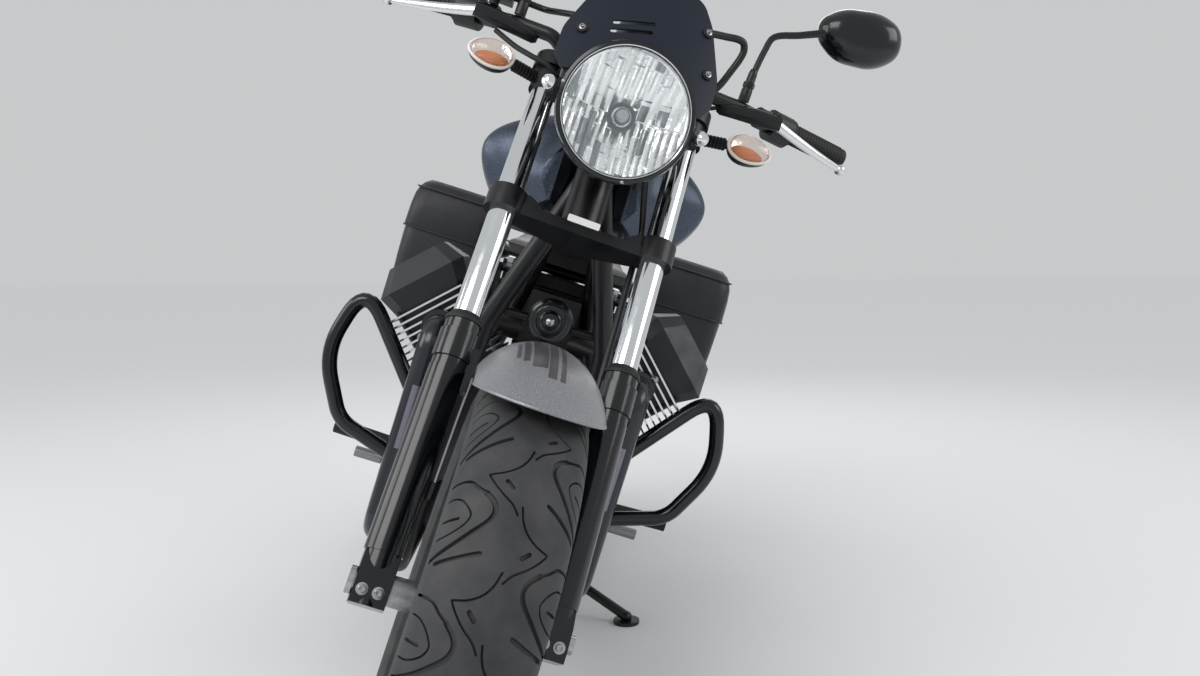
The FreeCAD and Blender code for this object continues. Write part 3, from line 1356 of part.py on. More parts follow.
def make_tank():
    """Fuel tank with a crease along its shoulder and a tunnel over the frame rails."""
    wide = float(d.tank_half) / 190
    lift = float(d.tank_top) - 1002
    wires = []
    for forward, half, crease, top, bottom_half, bottom in TANK_STATIONS:
        half = half * wide
        bottom_half = bottom_half * wide
        top = top + lift
        shoulder = crease + (top - crease) * 0.53
        corners = [Vector(forward, -bottom_half, bottom), Vector(forward, bottom_half, bottom),
                   Vector(forward, half, crease), Vector(forward, half * 0.86, shoulder),
                   Vector(forward, half * 0.3, top), Vector(forward, -half * 0.3, top),
                   Vector(forward, -half * 0.86, shoulder), Vector(forward, -half, crease)]
        rounding = half / 190 * wide
        wires.append(rounded_wire(corners, [10, 10, 9, 36 * rounding, 30 * rounding, 30 * rounding,
                                            36 * rounding, 9]))
    tank = Part.makeLoft(wires, True, True)
    tunnel = Part.Face(Part.makePolygon([Vector(655, 0, 770), Vector(770, 0, 887), Vector(1150, 0, 962),
                                         Vector(1150, 0, 770), Vector(655, 0, 770)]))
    tunnel = tunnel.extrude(Y_AXIS * 144)
    tunnel.translate(Vector(0, -72, 0))
    tank = tank.cut(tunnel)
    cap = rod(Vector(900, 0, 980), Vector(900, 0, float(d.tank_top) + 8), 30)
    put(shaped("fuel_tank", tank.fuse(cap)))


# Seat stations: x, half width, top height
SEAT_STATIONS = [
    (632, 70, 802), (560, 100, 790), (460, 138, 788), (340, 140, 792), (262, 128, 820),
    (180, 118, 838), (40, 112, 836), (-90, 100, 826), (-128, 84, 800),
]


def make_seat():
    wide = float(d.seat_half) / 140
    wires = []
    for forward, half, top in SEAT_STATIONS:
        base = float(d.seat_base)
        half = half * wide
        corners = [Vector(forward, -half + 10, base), Vector(forward, half - 10, base),
                   Vector(forward, half, base + 22), Vector(forward, half - 12, top - 8),
                   Vector(forward, 0, top + 2), Vector(forward, -half + 12, top - 8),
                   Vector(forward, -half, base + 22)]
        wires.append(rounded_wire(corners, [5, 5, 10, 12, 30, 12, 10]))
    put(shaped("seat", Part.makeLoft(wires, True, True)))


def make_side_covers():
    """A pressed cover on each side, over the battery, with a raised rim."""
    body = doc.addObject("PartDesign::Body", "side_cover_one")
    inner = d.cradle_half + d.frame_radius + d.gap
    outline = new_sketch(body, "XZ_Plane", "side_cover_outline", -inner)
    draw_outline(outline, [(360, 716), (352, 560), (402, 512), (570, 540), (600, 640), (560, 720)])
    new_pad(body, outline, 4, "side_cover_plate", backwards=True)
    raised = new_sketch(body, "XZ_Plane", "side_cover_panel_outline", -inner - 4)
    draw_outline(raised, [(380, 700), (374, 568), (412, 532), (556, 556), (580, 640), (546, 704)])
    new_pad(body, raised, 8, "side_cover_panel", backwards=True)
    put(mirrored_pair("side_covers", body))


def make_saddlebags():
    """A leather bag each side, a little narrower at its base, with a lid that folds over its face."""
    back = -110
    low = 528
    for side, label in ((1, "saddlebag_left"), (-1, "saddlebag_right")):
        wires = []
        # Sections up the bag: share of height, how far the outer face and the ends draw in
        for share, draw_in in ((0, 26), (0.08, 8), (0.62, 0), (0.9, 4), (1.0, 26)):
            height = low + float(d.bag_height) * share
            inner = float(d.bag_inner)
            outer = inner + float(d.bag_width) - draw_in
            front = back + float(d.bag_length) - draw_in
            rear = back + draw_in
            corners = [Vector(rear, side * inner, height), Vector(front, side * inner, height),
                       Vector(front, side * outer, height), Vector(rear, side * outer, height)]
            if side < 0:
                corners.reverse()
                radii = [38, 38, 8, 8]
            else:
                radii = [8, 8, 38, 38]
            wires.append(rounded_wire(corners, radii))
        put(shaped(label, Part.makeLoft(wires, True, True)))


def bag_rail():
    """The left bent tube that holds a bag off the wheel, welded under the seat rail."""
    height = float(d.seat_base) - 50
    out = float(d.bag_inner) - 6.4
    loop = [Vector(230, rail_half + 1, height), Vector(230, out, height), Vector(230, out, 560),
            Vector(-40, out, 560), Vector(-40, out, height), Vector(-40, rail_half + 1, height)]
    rail = tube(loop, 24, 6)
    for forward in (230, -40):
        foot = Vector(forward, rail_half, height - 9)
        rail = rail.fuse(rod(foot, foot + Z_AXIS * 44, 8))
    return rail


# Rear end

def make_rear_mudguard():
    section = arched_section(d.mudguard_rear_radius, d.mudguard_rear_half, Size(66, "66"),
                             d.mudguard_thick)
    put(turned_body("rear_mudguard", section, angle=Size(112, "112")), "rear_mudguard")


def rear_arc_point(angle, radius, across):
    turn = math.radians(angle)
    return rear_axle + Vector(-math.cos(turn) * radius, across, math.sin(turn) * radius)


def tail_lamp():
    """Lamp housing on the mudguard, with its lens to the rear."""
    crown = float(d.mudguard_rear_radius) + 0.4
    foot = rear_arc_point(48, crown, 0)
    out = (rear_arc_point(48, crown + 10, 0) - foot).normalize()
    seat = Part.makeCylinder(16, 48, foot, out)
    front = foot + out * 46 + Vector(20, 0, 0)
    housing = Part.makeCone(34, 40, 40, front, Vector(-1, 0, 0.05))
    lens = Part.makeCone(40, 28, 16, front + Vector(-40, 0, 2), Vector(-1, 0, 0.05))
    return seat.fuse([housing, lens])


def plate_holder():
    """Bracket with a blank plate behind the wheel."""
    crown = float(d.mudguard_rear_radius) + 0.4
    foot = rear_arc_point(18, crown, 0)
    out = (rear_arc_point(18, crown + 10, 0) - foot).normalize()
    arm = rod(foot, foot + out * 22, 12)
    plate = block(Vector(-3, -90, -70), Vector(3, 90, 70))
    plate.rotate(ORIGIN, Y_AXIS, 14)
    plate.translate(foot + out * 22)
    return arm.fuse(plate)


def rear_indicators():
    """A cross bar behind the seat with an oval lamp at each end."""
    rail_height = float(d.seat_base - d.rail_radius) - 0.5
    bar = Vector(rail_end - 8.3, 0, rail_height)
    reach = 176
    lamps = [oval_lamp(bar + Y_AXIS * side * (reach + 20)) for side in (-1, 1)]
    return rod(bar - Y_AXIS * reach, bar + Y_AXIS * reach, 8).fuse(lamps)


def make_tail_unit():
    put(shaped("tail_unit", Part.makeCompound([tail_lamp(), plate_holder(), rear_indicators()])))


# Lower eye of each shock
shock_low_forward = 96
shock_low_height = 368


def make_swing_arm():
    """Cross tube, plain left leg, drive shaft leg and bevel box on the right, and shock lugs."""
    pivot = at(d.swing_pivot_forward, 0, d.swing_pivot_height)
    reach = float(d.cradle_half) - 4 - float(d.gap)
    parts = [rod(pivot - Y_AXIS * reach, pivot + Y_AXIS * reach, 24)]
    left = [pivot + Y_AXIS * 100, Vector(0, 113.5, float(d.tyre_rear_radius))]
    right = [pivot - Y_AXIS * 92, Vector(0, -118, float(d.tyre_rear_radius))]
    parts.append(rod(left[0], left[1], 14))
    parts.append(rod(right[0] - X_AXIS * 18, right[1], 22))
    parts.append(rod(rear_axle + Y_AXIS * 99, rear_axle + Y_AXIS * 128, 26))
    parts.append(rod(rear_axle - Y_AXIS * 94, rear_axle - Y_AXIS * 150, 72))
    for side in (-1, 1):
        low = at(shock_low_forward, side * 109, shock_low_height)
        parts.append(rod(low - Z_AXIS * 46, low + Z_AXIS * 4, 9))
        parts.append(rod(low, at(shock_low_forward, side * (d.shock_half + 22), shock_low_height), 8))
    caliper = caliper_shape(float(d.disc_rear_radius) - 4)
    caliper.rotate(ORIGIN, Y_AXIS, 62)
    caliper.translate(rear_axle)
    stay = rod(at(104, 92, shock_low_height - 2), at(104, 112, shock_low_height - 2), 9)
    parts += [caliper, stay]
    arm = parts[0].fuse(parts[1:])
    bore = rod(Vector(0, -160, float(d.tyre_rear_radius)), Vector(0, 160, float(d.tyre_rear_radius)),
               d.axle_radius + d.gap / 2)
    put(shaped("swing_arm", arm.cut(bore)))


def make_rear_axle():
    body = doc.addObject("PartDesign::Body", "rear_axle")
    sketch = new_sketch(body, "XY_Plane", "rear_axle_profile")
    bore = d.axle_bore
    ends = Size(156, "156")
    draw_outline(sketch, [
        (bore, -ends), (d.axle_radius + 5, -ends), (d.axle_radius + 5, -ends + 5.7),
        (d.axle_radius, -ends + 5.7), (d.axle_radius, -d.hub_half - 48),
        (d.axle_radius + 6, -d.hub_half - 48),
        (d.axle_radius + 6, -d.hub_half - 1), (d.axle_radius, -d.hub_half - 1),
        (d.axle_radius, d.disc_face + d.disc_thick + 1), (d.axle_radius + 4, d.disc_face + d.disc_thick + 1),
        (d.axle_radius + 4, 98.7), (d.axle_radius, 98.7), (d.axle_radius, 128.3), (d.axle_radius + 5, 128.3),
        (d.axle_radius + 5, 136), (bore, 136)])
    new_turning(body, sketch, "rear_axle_turning")
    put(body, "rear_wheel_place")


def make_shocks():
    """Spring and damper each side between the swing arm and the seat rail."""
    low = at(shock_low_forward, d.shock_half, shock_low_height)
    high = Vector(140, float(d.shock_half), float(d.seat_base - d.rail_radius) - 20.5)
    length = (high - low).Length
    body = doc.addObject("PartDesign::Body", "shock_one")
    sketch = new_sketch(body, "XY_Plane", "shock_profile")
    coils = 9
    start = 52.0
    pitch = (length - 118) / coils
    corners = [(0, 14), (15, 14), (15, 40), (31, 40), (31, start)]
    for coil in range(coils):
        along = start + pitch * coil
        corners += [(22, along + pitch * 0.12), (30, along + pitch * 0.4), (30, along + pitch * 0.72)]
    corners += [(22, start + pitch * coils), (31, start + pitch * coils + 4), (31, length - 40),
                (15, length - 40), (15, length - 14), (0, length - 14)]
    draw_outline(sketch, corners)
    new_turning(body, sketch, "shock_turning")
    eyes = new_sketch(body, "XY_Plane", "shock_eye_outline", Size(-11, "-11"))
    for along in (0, length):
        draw_circle(eyes, 0, along, 16)
        draw_circle(eyes, 0, along, 8.2)
    new_pad(body, eyes, 22, "shock_eyes")
    # The profile's up axis is turned to run from the lower lug to the upper one
    upright = Rotation(X_AXIS, 90)
    slope = math.degrees(math.atan2(high.x - low.x, high.z - low.z))
    body.Placement = Placement(low, Rotation(Y_AXIS, slope) * upright)
    put(mirrored_pair("rear_shocks", body))


def make_guards():
    """A closed tube loop on each side of the engine, clamped to the down tube."""
    out = float(d.guard_half)
    root = Vector(down_tube_forward - 31, 120, 345)
    points = [root, Vector(983, 152, 352), Vector(981, 290, 396), Vector(980, out, 500),
              Vector(980, out - 35, 630), Vector(983, 168, 455), root + Z_AXIS * 91]
    loop = tube(points, 45, d.guard_radius)
    plate = rod(root, root + Z_AXIS * 91, 9)
    # A ring clamps the loop to the down tube
    along = Vector(4, -10, 225).normalize()
    on_tube = Vector(down_tube_forward - 4, float(d.cradle_half), float(d.cradle_height)) + along * 150.2
    ring = rod(on_tube - along * 15, on_tube + along * 15, d.frame_radius + 6)
    plate = plate.fuse(ring).cut(rod(on_tube - along * 60, on_tube + along * 75, d.frame_radius + d.gap))
    guard = loop.fuse(plate)
    put(shaped("engine_guards", with_twin(guard)))


# Pivot of the pedal and of the gear lever
pedal_forward = 668


def rider_peg():
    """The left rubber peg on its arm from the frame."""
    inner = float(d.cradle_half + d.frame_radius + d.gap)
    root = Vector(478, inner + 10, 330)
    arm = tube([root, Vector(560, inner + 10, 318), Vector(640, inner + 14, 302),
                Vector(640, inner + 60, 302)], 12, 9)
    foot = rod(Vector(478, inner, 330), Vector(478, inner + 14, 330), 12)
    peg = rod(Vector(640, 236, 302), Vector(640, float(d.peg_half), 306), 15)
    joint = rod(Vector(640, inner + 50, 302), Vector(640, 240, 302), 11)
    pedal_pin = rod(Vector(640, inner + 26, 302), Vector(pedal_forward - 14 - float(d.gap), inner + 26, 302), 7)
    return arm.fuse([foot, peg, joint, pedal_pin])


def passenger_peg():
    """The left passenger peg on its arm."""
    inner = float(d.cradle_half) + 4 + float(d.gap)
    root = Vector(430, inner, 350)
    arm = tube([root + Y_AXIS * 9, Vector(372, inner + 8, 392), Vector(330, inner + 14, 400),
                Vector(330, inner + 50, 400)], 12, 8)
    foot = rod(root, root + Y_AXIS * 12, 12)
    peg = rod(Vector(330, inner + 48, 400), Vector(330, 292, 402), 13)
    return arm.fuse([foot, peg])


def make_pegs():
    left = [rider_peg(), passenger_peg()]
    right = [peg.mirror(ORIGIN, Y_AXIS) for peg in left]
    put(shaped("foot_pegs", Part.makeCompound(left + right)))


def make_foot_controls():
    """Brake pedal on the right and gear lever on the left, each on the peg's arm."""
    inner = float(d.cradle_half + d.frame_radius) + 26
    pivot = Vector(pedal_forward, inner, 302)
    arm = tube([pivot, Vector(740, inner + 6, 296), Vector(836, inner + 30, 316),
                Vector(836, inner + 62, 316)], 14, 6)
    hub = rod(pivot - Y_AXIS * 12, pivot + Y_AXIS * 12, 14)
    pad = rod(Vector(836, inner + 56, 316), Vector(836, inner + 106, 316), 10)
    lever = arm.fuse([hub, pad])
    put(shaped("foot_controls", with_twin(lever)))


make_frame()
make_engine()
make_air_box()
make_exhausts()
make_horn()
make_tank()
make_seat()
make_side_covers()
make_saddlebags()
make_rear_mudguard()
make_tail_unit()
make_swing_arm()
make_rear_axle()
make_shocks()
make_guards()
make_pegs()
make_foot_controls()


# Places of the groups on the upright motorcycle, then the lean

def group_placement(group):
    along_y = Rotation()
    steered = turned
    crank = at(d.cylinder_forward, 0, d.crank_height)
    slant_angle = float(d.cylinder_angle)
    mudguard_end = Rotation(Y_AXIS, mudguard_rear_angle - 180)
    places = {
        "frame": Placement(),
        "side_stand": Placement(),
        "steered": steered,
        "fork": steered * fork_frame,
        "front_axle": steered * Placement(front_axle, along_y),
        "front_mudguard": steered * Placement(front_axle, mudguard_end),
        "front_wheel": steered * Placement(front_axle, along_y),
        "front_wheel_disc": steered * Placement(front_axle + Y_AXIS * float(d.disc_face), along_y),
        "rear_wheel": Placement(rear_axle, along_y),
        "rear_wheel_disc": Placement(rear_axle + Y_AXIS * float(d.disc_face), along_y),
        "rear_wheel_place": Placement(rear_axle, along_y),
        "rear_mudguard": Placement(rear_axle, Rotation(Y_AXIS, -178)),
        "lamp": steered * Placement(lamp_middle, Rotation(Z_AXIS, -90)),
        "instrument": steered * Placement(bar_middle + Vector(86, 0, 33),
                                          Rotation(Y_AXIS, -38) * Rotation(X_AXIS, 90)),
        "horn": Placement(horn_middle, Rotation(Z_AXIS, -90)),
        "cylinder_left": Placement(crank, Rotation(X_AXIS, -slant_angle)),
        "cylinder_right": Placement(crank, Rotation(X_AXIS, slant_angle)),
    }
    return places[group]


for node, group in pieces:
    start = node.Placement if group in ("frame", "side_stand", "steered") else Placement()
    node.Placement = leaned * group_placement(group) * start
doc.recompute()

box = FreeCAD.BoundBox()
for node, group in pieces:
    box.add(node.Shape.optimalBoundingBox(False))
to_origin = Placement(Vector(-box.Center.x, -box.Center.y, -box.ZMin), Rotation())
for node, group in pieces:
    node.Placement = to_origin * node.Placement
doc.recompute()

# Every sub-part has to be sound before it is written

for feature in doc.Objects:
    if "Invalid" in feature.State or "Error" in feature.State:
        raise ValueError("%s failed: %s" % (feature.Label, feature.State))
for node, group in pieces:
    if node.Shape.isNull() or not node.Shape.isValid():
        raise ValueError("%s has no sound shape" % node.Label)
for node, group in pieces:
    node.Shape.exportStep("parts/%s.step" % node.Label)

# Places that the joints and mounts use, on the parked motorcycle

parked = to_origin * leaned


def show(name, place, point, direction):
    spot = place.multVec(point)
    way = place.Rotation.multVec(direction)
    print("place %s %.4f %.4f %.4f  %.6f %.6f %.6f" % (name, spot.x, spot.y, spot.z, way.x, way.y, way.z))


bar_run = bar_points_half[-1] - bar_points_half[-2]
bar_run.normalize()
show("steering", parked, head_low, fork_up)
show("front_axle", parked * turned, front_axle, Y_AXIS)
show("rear_axle", parked, rear_axle, Y_AXIS)
show("stand_pivot", parked, stand_pivot, stand_axis)
show("stand_foot", parked, stand_foot, floor_up)
show("bar_end_left", parked * turned, bar_points_half[-1], bar_run)
show("bar_end_right", parked * turned, Vector(bar_points_half[-1].x, -bar_points_half[-1].y,
     bar_points_half[-1].z), Vector(bar_run.x, -bar_run.y, bar_run.z))
print("nodes %d, box %.1f x %.1f x %.1f" % (len(pieces), box.XLength, box.YLength, box.ZLength))
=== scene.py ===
# %% [markdown]
# This lesson dresses a parked cruiser motorcycle. The solid parts come from the frame file, already
# in metres and leaned over on their side stand. Each step adds one piece or one finish.

# %% Load the frame
import json
import random
from math import asin, atan, cos, degrees, exp, floor, hypot, pi, radians, sin, sqrt, tan

import bmesh
import bpy
from mathutils import Matrix, Vector
from mathutils.geometry import delaunay_2d_cdt


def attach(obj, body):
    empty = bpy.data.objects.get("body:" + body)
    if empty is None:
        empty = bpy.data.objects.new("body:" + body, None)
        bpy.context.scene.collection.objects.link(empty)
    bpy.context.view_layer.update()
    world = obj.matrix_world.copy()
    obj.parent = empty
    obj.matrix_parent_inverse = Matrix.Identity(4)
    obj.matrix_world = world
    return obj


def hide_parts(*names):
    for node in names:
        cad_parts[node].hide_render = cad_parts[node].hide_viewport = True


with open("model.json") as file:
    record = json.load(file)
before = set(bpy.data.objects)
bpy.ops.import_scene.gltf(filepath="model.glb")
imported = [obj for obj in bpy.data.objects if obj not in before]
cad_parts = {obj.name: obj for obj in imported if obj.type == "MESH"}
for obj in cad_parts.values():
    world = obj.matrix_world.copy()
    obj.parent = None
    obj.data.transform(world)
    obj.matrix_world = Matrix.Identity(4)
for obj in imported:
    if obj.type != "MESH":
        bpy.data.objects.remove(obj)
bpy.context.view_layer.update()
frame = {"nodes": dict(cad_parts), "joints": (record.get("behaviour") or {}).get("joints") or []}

# %% [markdown]
# The motorcycle leans, so its pieces are easier to draw upright. The wheel axles and the steering
# joint tell where the upright motorcycle went: their directions give one matrix for the frame and
# another for all that turns with the fork.

# %% Upright places
MM = 0.001
WHEELBASE = 1465
FRONT_AXLE_UP = 320
REAR_AXLE_UP = 323
RAKE_DEGREES = 26.4
joints = {joint["name"]: joint for joint in frame["joints"]}


def at(ahead, left, up):
    """A point or a step in millimetres."""
    return Vector((ahead, left, up))


def shift(ahead, left, up):
    """A matrix that moves by a step."""
    return Matrix.Translation((ahead, left, up))


def turning(axis, angle):
    """A matrix that turns by degrees about an axis."""
    return Matrix.Rotation(radians(angle), 4, axis)


def joint_line(name):
    """Point and direction of a joint's axis."""
    return Vector(joints[name]["pos_m"]), Vector(joints[name]["axis"]).normalized()


def upright_matrix(axle_name, turn_axis, origin):
    """Maps millimetres on the upright motorcycle to metres on the parked one."""
    axle, left = joint_line(axle_name)
    rake = radians(RAKE_DEGREES)
    fork_ahead = left.cross(turn_axis).normalized()
    ahead = fork_ahead * cos(rake) - turn_axis * sin(rake)
    up = fork_ahead * sin(rake) + turn_axis * cos(rake)
    axes = Matrix((ahead, left, up)).transposed().to_4x4()
    return Matrix.Translation(axle) @ axes @ Matrix.Scale(MM, 4) @ Matrix.Translation(-origin)


steer_axis = joint_line("steering")[1]
BIKE = upright_matrix("rear_wheel", steer_axis, at(0, 0, REAR_AXLE_UP))
STEERED = upright_matrix("front_wheel", steer_axis, at(WHEELBASE, 0, FRONT_AXLE_UP))
REAR_WHEEL = BIKE @ shift(0, 0, REAR_AXLE_UP)
FRONT_UPRIGHT = STEERED @ shift(WHEELBASE, 0, FRONT_AXLE_UP)
# In the fork's own frame X is ahead, Z is up the fork and the axle is the origin
FORK = FRONT_UPRIGHT @ turning("Y", -RAKE_DEGREES)
print("front axle at", FORK.translation)

# %% [markdown]
# The camera stands 1.2 m ahead of the front axle and 0.73 m above the ground, which is lower than the
# headlight, and looks slightly down, as the photograph was taken. A matrix is built from where it
# looks.

# %% Camera
CAMERA_FROM_REAR_AXLE = Vector((2.6499, 0.1355, 0.4240))
CAMERA_LOOKS = Vector((-0.9963, 0.0313, -0.0802)).normalized()
CAMERA_ROLL = radians(-0.5)
camera_data = bpy.data.cameras.new("photo_camera")
camera_data.lens = 29.75
camera_data.sensor_width = 36
camera = bpy.data.objects.new("photo_camera", camera_data)
bpy.context.scene.collection.objects.link(camera)
level_right = CAMERA_LOOKS.cross(Vector((0, 0, 1))).normalized()
level_up = level_right.cross(CAMERA_LOOKS)
camera_right = level_right * cos(CAMERA_ROLL) + level_up * sin(CAMERA_ROLL)
camera_axes = Matrix((camera_right, camera_right.cross(CAMERA_LOOKS), -CAMERA_LOOKS)).transposed().to_4x4()
camera.matrix_world = Matrix.Translation(joint_line("rear_wheel")[0] + CAMERA_FROM_REAR_AXLE) @ camera_axes
bpy.context.scene.camera = camera
print("camera at", camera.matrix_world.translation)

# %% [markdown]
# Finishes are built from nodes. Colours are written as the hex values that a paint chart gives, so one
# function turns them to the linear values that the renderer adds and multiplies.

# %% Colour and node helpers


def colour(hex_value):
    """Linear colour, with alpha, from an sRGB hex value."""
    parts = [int(hex_value[place:place + 2], 16) / 255 for place in (1, 3, 5)]
    return tuple(c / 12.92 if c <= 0.04045 else ((c + 0.055) / 1.055) ** 2.4 for c in parts) + (1.0,)


def add(tree, kind, settings=None, **links):
    """Adds a node, sets its properties and sockets, and links named sockets to others."""
    node = tree.nodes.new(kind)
    for name, value in (settings or {}).items():
        if name in node.inputs:
            node.inputs[name].default_value = value
        else:
            setattr(node, name, value)
    for name, source in links.items():
        tree.links.new(source, node.inputs[name.replace("_", " ")])
    return node


def new_finish(name, base, sockets):
    """A material with a Principled shader whose even values are set on its own sockets."""
    finish = bpy.data.materials.new(name)
    finish.use_nodes = True
    tree = finish.node_tree
    shader = tree.nodes["Principled BSDF"]
    shader.inputs["Base Color"].default_value = colour(base)
    for socket, value in sockets.items():
        shader.inputs[socket].default_value = value
    return finish, tree, shader


def surface_point(tree, scale_mm):
    """Where a point lies on its object, counted in cells of the given size."""
    place = add(tree, "ShaderNodeTexCoord")
    size = 1 / (scale_mm * MM)
    mapping = add(tree, "ShaderNodeMapping", {"Scale": (size, size, size)}, Vector=place.outputs["Object"])
    return mapping.outputs["Vector"]


def mottle(tree, scale_mm, detail=3.0):
    """Soft noise whose grains are about the given size."""
    noise = add(tree, "ShaderNodeTexNoise", {"Scale": 1.0, "Detail": detail, "Roughness": 0.55},
                Vector=surface_point(tree, scale_mm))
    return noise.outputs["Fac"]


def spread(tree, source, low, high, from_low=0.3, from_high=0.7):
    """Stretches a value from one range to another."""
    stretch = add(tree, "ShaderNodeMapRange", {"From Min": from_low, "From Max": from_high, "To Min": low,
                                               "To Max": high}, Value=source)
    return stretch.outputs["Result"]


def bump(tree, shader, height, depth_mm, strength=1.0):
    """Ties a height pattern to the shader's normal."""
    relief = add(tree, "ShaderNodeBump", {"Strength": strength, "Distance": depth_mm * MM}, Height=height)
    tree.links.new(relief.outputs["Normal"], shader.inputs["Normal"])


def two_tone(tree, shader, pattern, first, second, low=0.3, high=0.7):
    """Mixes two hex colours by a pattern."""
    mix = add(tree, "ShaderNodeMix", {"data_type": "RGBA"})
    mix.inputs[6].default_value = colour(first)
    mix.inputs[7].default_value = colour(second)
    tree.links.new(spread(tree, pattern, 0.0, 1.0, low, high), mix.inputs[0])
    tree.links.new(mix.outputs[2], shader.inputs["Base Color"])


def uneven_gloss(tree, shader, pattern, low, high):
    """Lets a pattern change the roughness between two values."""
    tree.links.new(spread(tree, pattern, low, high), shader.inputs["Roughness"])


# %% [markdown]
# Rubber is moulded and then worn by the road. Its colour is a dark grey where it is clean and paler
# where dust stays. IOR of rubber is about 1.52.

# %% Tyre rubber
tyre_rubber, tree, shader = new_finish("moulded_tyre_rubber", "#1F2022", {"Roughness": 0.62, "IOR": 1.52})
two_tone(tree, shader, mottle(tree, 38), "#1F2022", "#353536")
bump(tree, shader, mottle(tree, 1.6), 0.25)
print("made", tyre_rubber.name)

# %% [markdown]
# The fork sliders, rims and most frame tubes are black. Gloss paint is sprayed: its clear top layer
# gives narrow highlights, broken a little by orange peel of about 2 mm. Satin paint scatters more.

# %% Black paints


def sprayed_paint(name, base, rough, coat, peel_mm=2.2, peel_depth=0.02):
    """Paint with a faint orange peel and a little change of gloss."""
    finish, tree, shader = new_finish(name, base, {"IOR": 1.5, "Coat Weight": coat, "Coat Roughness": 0.06})
    uneven_gloss(tree, shader, mottle(tree, 45), rough * 0.8, rough * 1.25)
    bump(tree, shader, mottle(tree, peel_mm, detail=1.0), peel_depth)
    return finish


gloss_black = sprayed_paint("sprayed_gloss_black", "#05070C", 0.18, 0.15)
satin_black = sprayed_paint("sprayed_satin_black", "#05060A", 0.36, 0.0)
wheel_black = sprayed_paint("baked_wheel_black", "#090A0C", 0.34, 0.15)
# The blue cast in the engine's and the exhaust's colours is a painted reflection. Both paints are black.
engine_black = sprayed_paint("engine_enamel", "#0C1118", 0.42, 0.1, peel_mm=3.0, peel_depth=0.06)
exhaust_black = sprayed_paint("black_heat_paint_painted_blue_reflection", "#0B101B", 0.26, 0.3)
print("made the black paints")

# %% [markdown]
# The fuel tank and side covers wear a dark metallic grey: aluminium flakes under clear lacquer. The
# flakes are far finer than a pixel, so they are drawn as 1.2 mm specks that tilt the shine.

# %% Metallic paints


def flake_paint(name, base, pale, rough):
    """Lacquer over metal flakes."""
    finish, tree, shader = new_finish(name, base, {"Metallic": 0.75, "Coat Weight": 0.25,
                                                   "Coat Roughness": 0.2, "Roughness": rough})
    flakes = mottle(tree, 1.2, detail=0.0)
    two_tone(tree, shader, flakes, base, pale, 0.4, 0.75)
    bump(tree, shader, flakes, 0.03, strength=0.5)
    return finish


tank_paint = flake_paint("dark_grey_metallic_lacquer", "#39404C", "#586274", 0.42)
silver_paint = flake_paint("silver_grey_lacquer", "#85858A", "#A2A2A6", 0.4)
stripe_paint = flake_paint("charcoal_stripe_lacquer", "#4F4D50", "#5D5B5E", 0.42)
print("made the metallic paints")

# %% [markdown]
# Hard chrome on the fork tubes is a mirror with a slight blue cast, and a few smears of road film
# that only change its roughness. A metal keeps the default IOR.

# %% Bright metals


def bright_metal(name, base, rough_low, rough_high, smear_mm):
    """Bare or plated metal with smears."""
    finish, tree, shader = new_finish(name, base, {"Metallic": 1.0})
    uneven_gloss(tree, shader, mottle(tree, smear_mm), rough_low, rough_high)
    return finish


hard_chrome = bright_metal("hard_chrome", "#E6E9EC", 0.05, 0.13, 30)
zinc_steel = bright_metal("zinc_plated_steel", "#B4B6B8", 0.22, 0.36, 12)
ground_steel = bright_metal("ground_disc_steel", "#A9AAAC", 0.24, 0.38, 5)
cast_alloy = bright_metal("satin_cast_alloy", "#8E9194", 0.3, 0.45, 8)
machined_alloy = bright_metal("machined_fin_edge", "#E4E6E8", 0.2, 0.32, 6)
# A pale metal for the strips on the exhaust pipes. Its pale colour is a painted highlight.
highlight_strip_metal = bright_metal("lilac_grey_painted_highlight_strip", "#86828F", 0.3, 0.42, 14)
print("made the bright metals")

# %% [markdown]
# Plastics: the flyscreen is matt black with a blue sheen painted into its colour, and the switch housings
# are grained black.
# Moulded ABS has an IOR of about 1.54 and a spark-eroded grain near 0.4 mm, drawn at 0.9 mm.

# %% Plastics and rubber parts


def moulded(name, base, rough, grain_mm, grain_depth, ior=1.54, **sockets):
    """Plastic, rubber or glass that takes its grain from a mould."""
    finish, tree, shader = new_finish(name, base, {"IOR": ior, "Roughness": rough} | sockets)
    bump(tree, shader, mottle(tree, grain_mm, detail=1.0), grain_depth)
    return finish


# The blue in the screen's colour is a painted sheen over its matt black.
screen_black = moulded("matt_screen_film", "#0B1424", 0.42, 1.1, 0.02, ior=1.42)
grained_black = moulded("grained_black_abs", "#0B0C0E", 0.45, 0.9, 0.05)
soft_rubber = moulded("soft_black_rubber", "#0D0D0E", 0.62, 1.0, 0.05, ior=1.52)
plate_white = moulded("blank_plate_enamel", "#D9DAD6", 0.35, 2.0, 0.01)
red_lens = moulded("red_lens_acrylic", "#8E0F12", 0.12, 3.0, 0.01, ior=1.49)
amber_bulb = moulded("amber_bulb_glass", "#FF8E0C", 0.15, 3.0, 0.01, ior=1.5)
pale_rim = moulded("pale_lens_rim", "#D8CFC8", 0.3, 3.0, 0.01, ior=1.49)
print("made the plastics")

# %% [markdown]
# Lamp glass is a thin clear sheet, drawn as nearly transparent, so the bowl behind it gets the light of
# the room. The indicators' thick acrylic bends light, so it is drawn as a solid that transmits.

# %% Clear lenses
lamp_glass = moulded("clear_lamp_glass", "#DCE4EA", 0.03, 30, 0.02, ior=1.5, Alpha=0.13)
clear_acrylic, tree, shader = new_finish("clear_indicator_acrylic", "#F4E9E2",
                                         {"Transmission Weight": 0.9, "Roughness": 0.08, "IOR": 1.49})
bump(tree, shader, mottle(tree, 3, detail=0.0), 0.15)
print("made the clear lenses")

# %% [markdown]
# The bags and the seat are black leather. Its grain is a net of cells about 2 mm across that lies over
# soft folds of about 40 mm, and the same folds change its colour and gloss a little over the hide.

# %% Leather


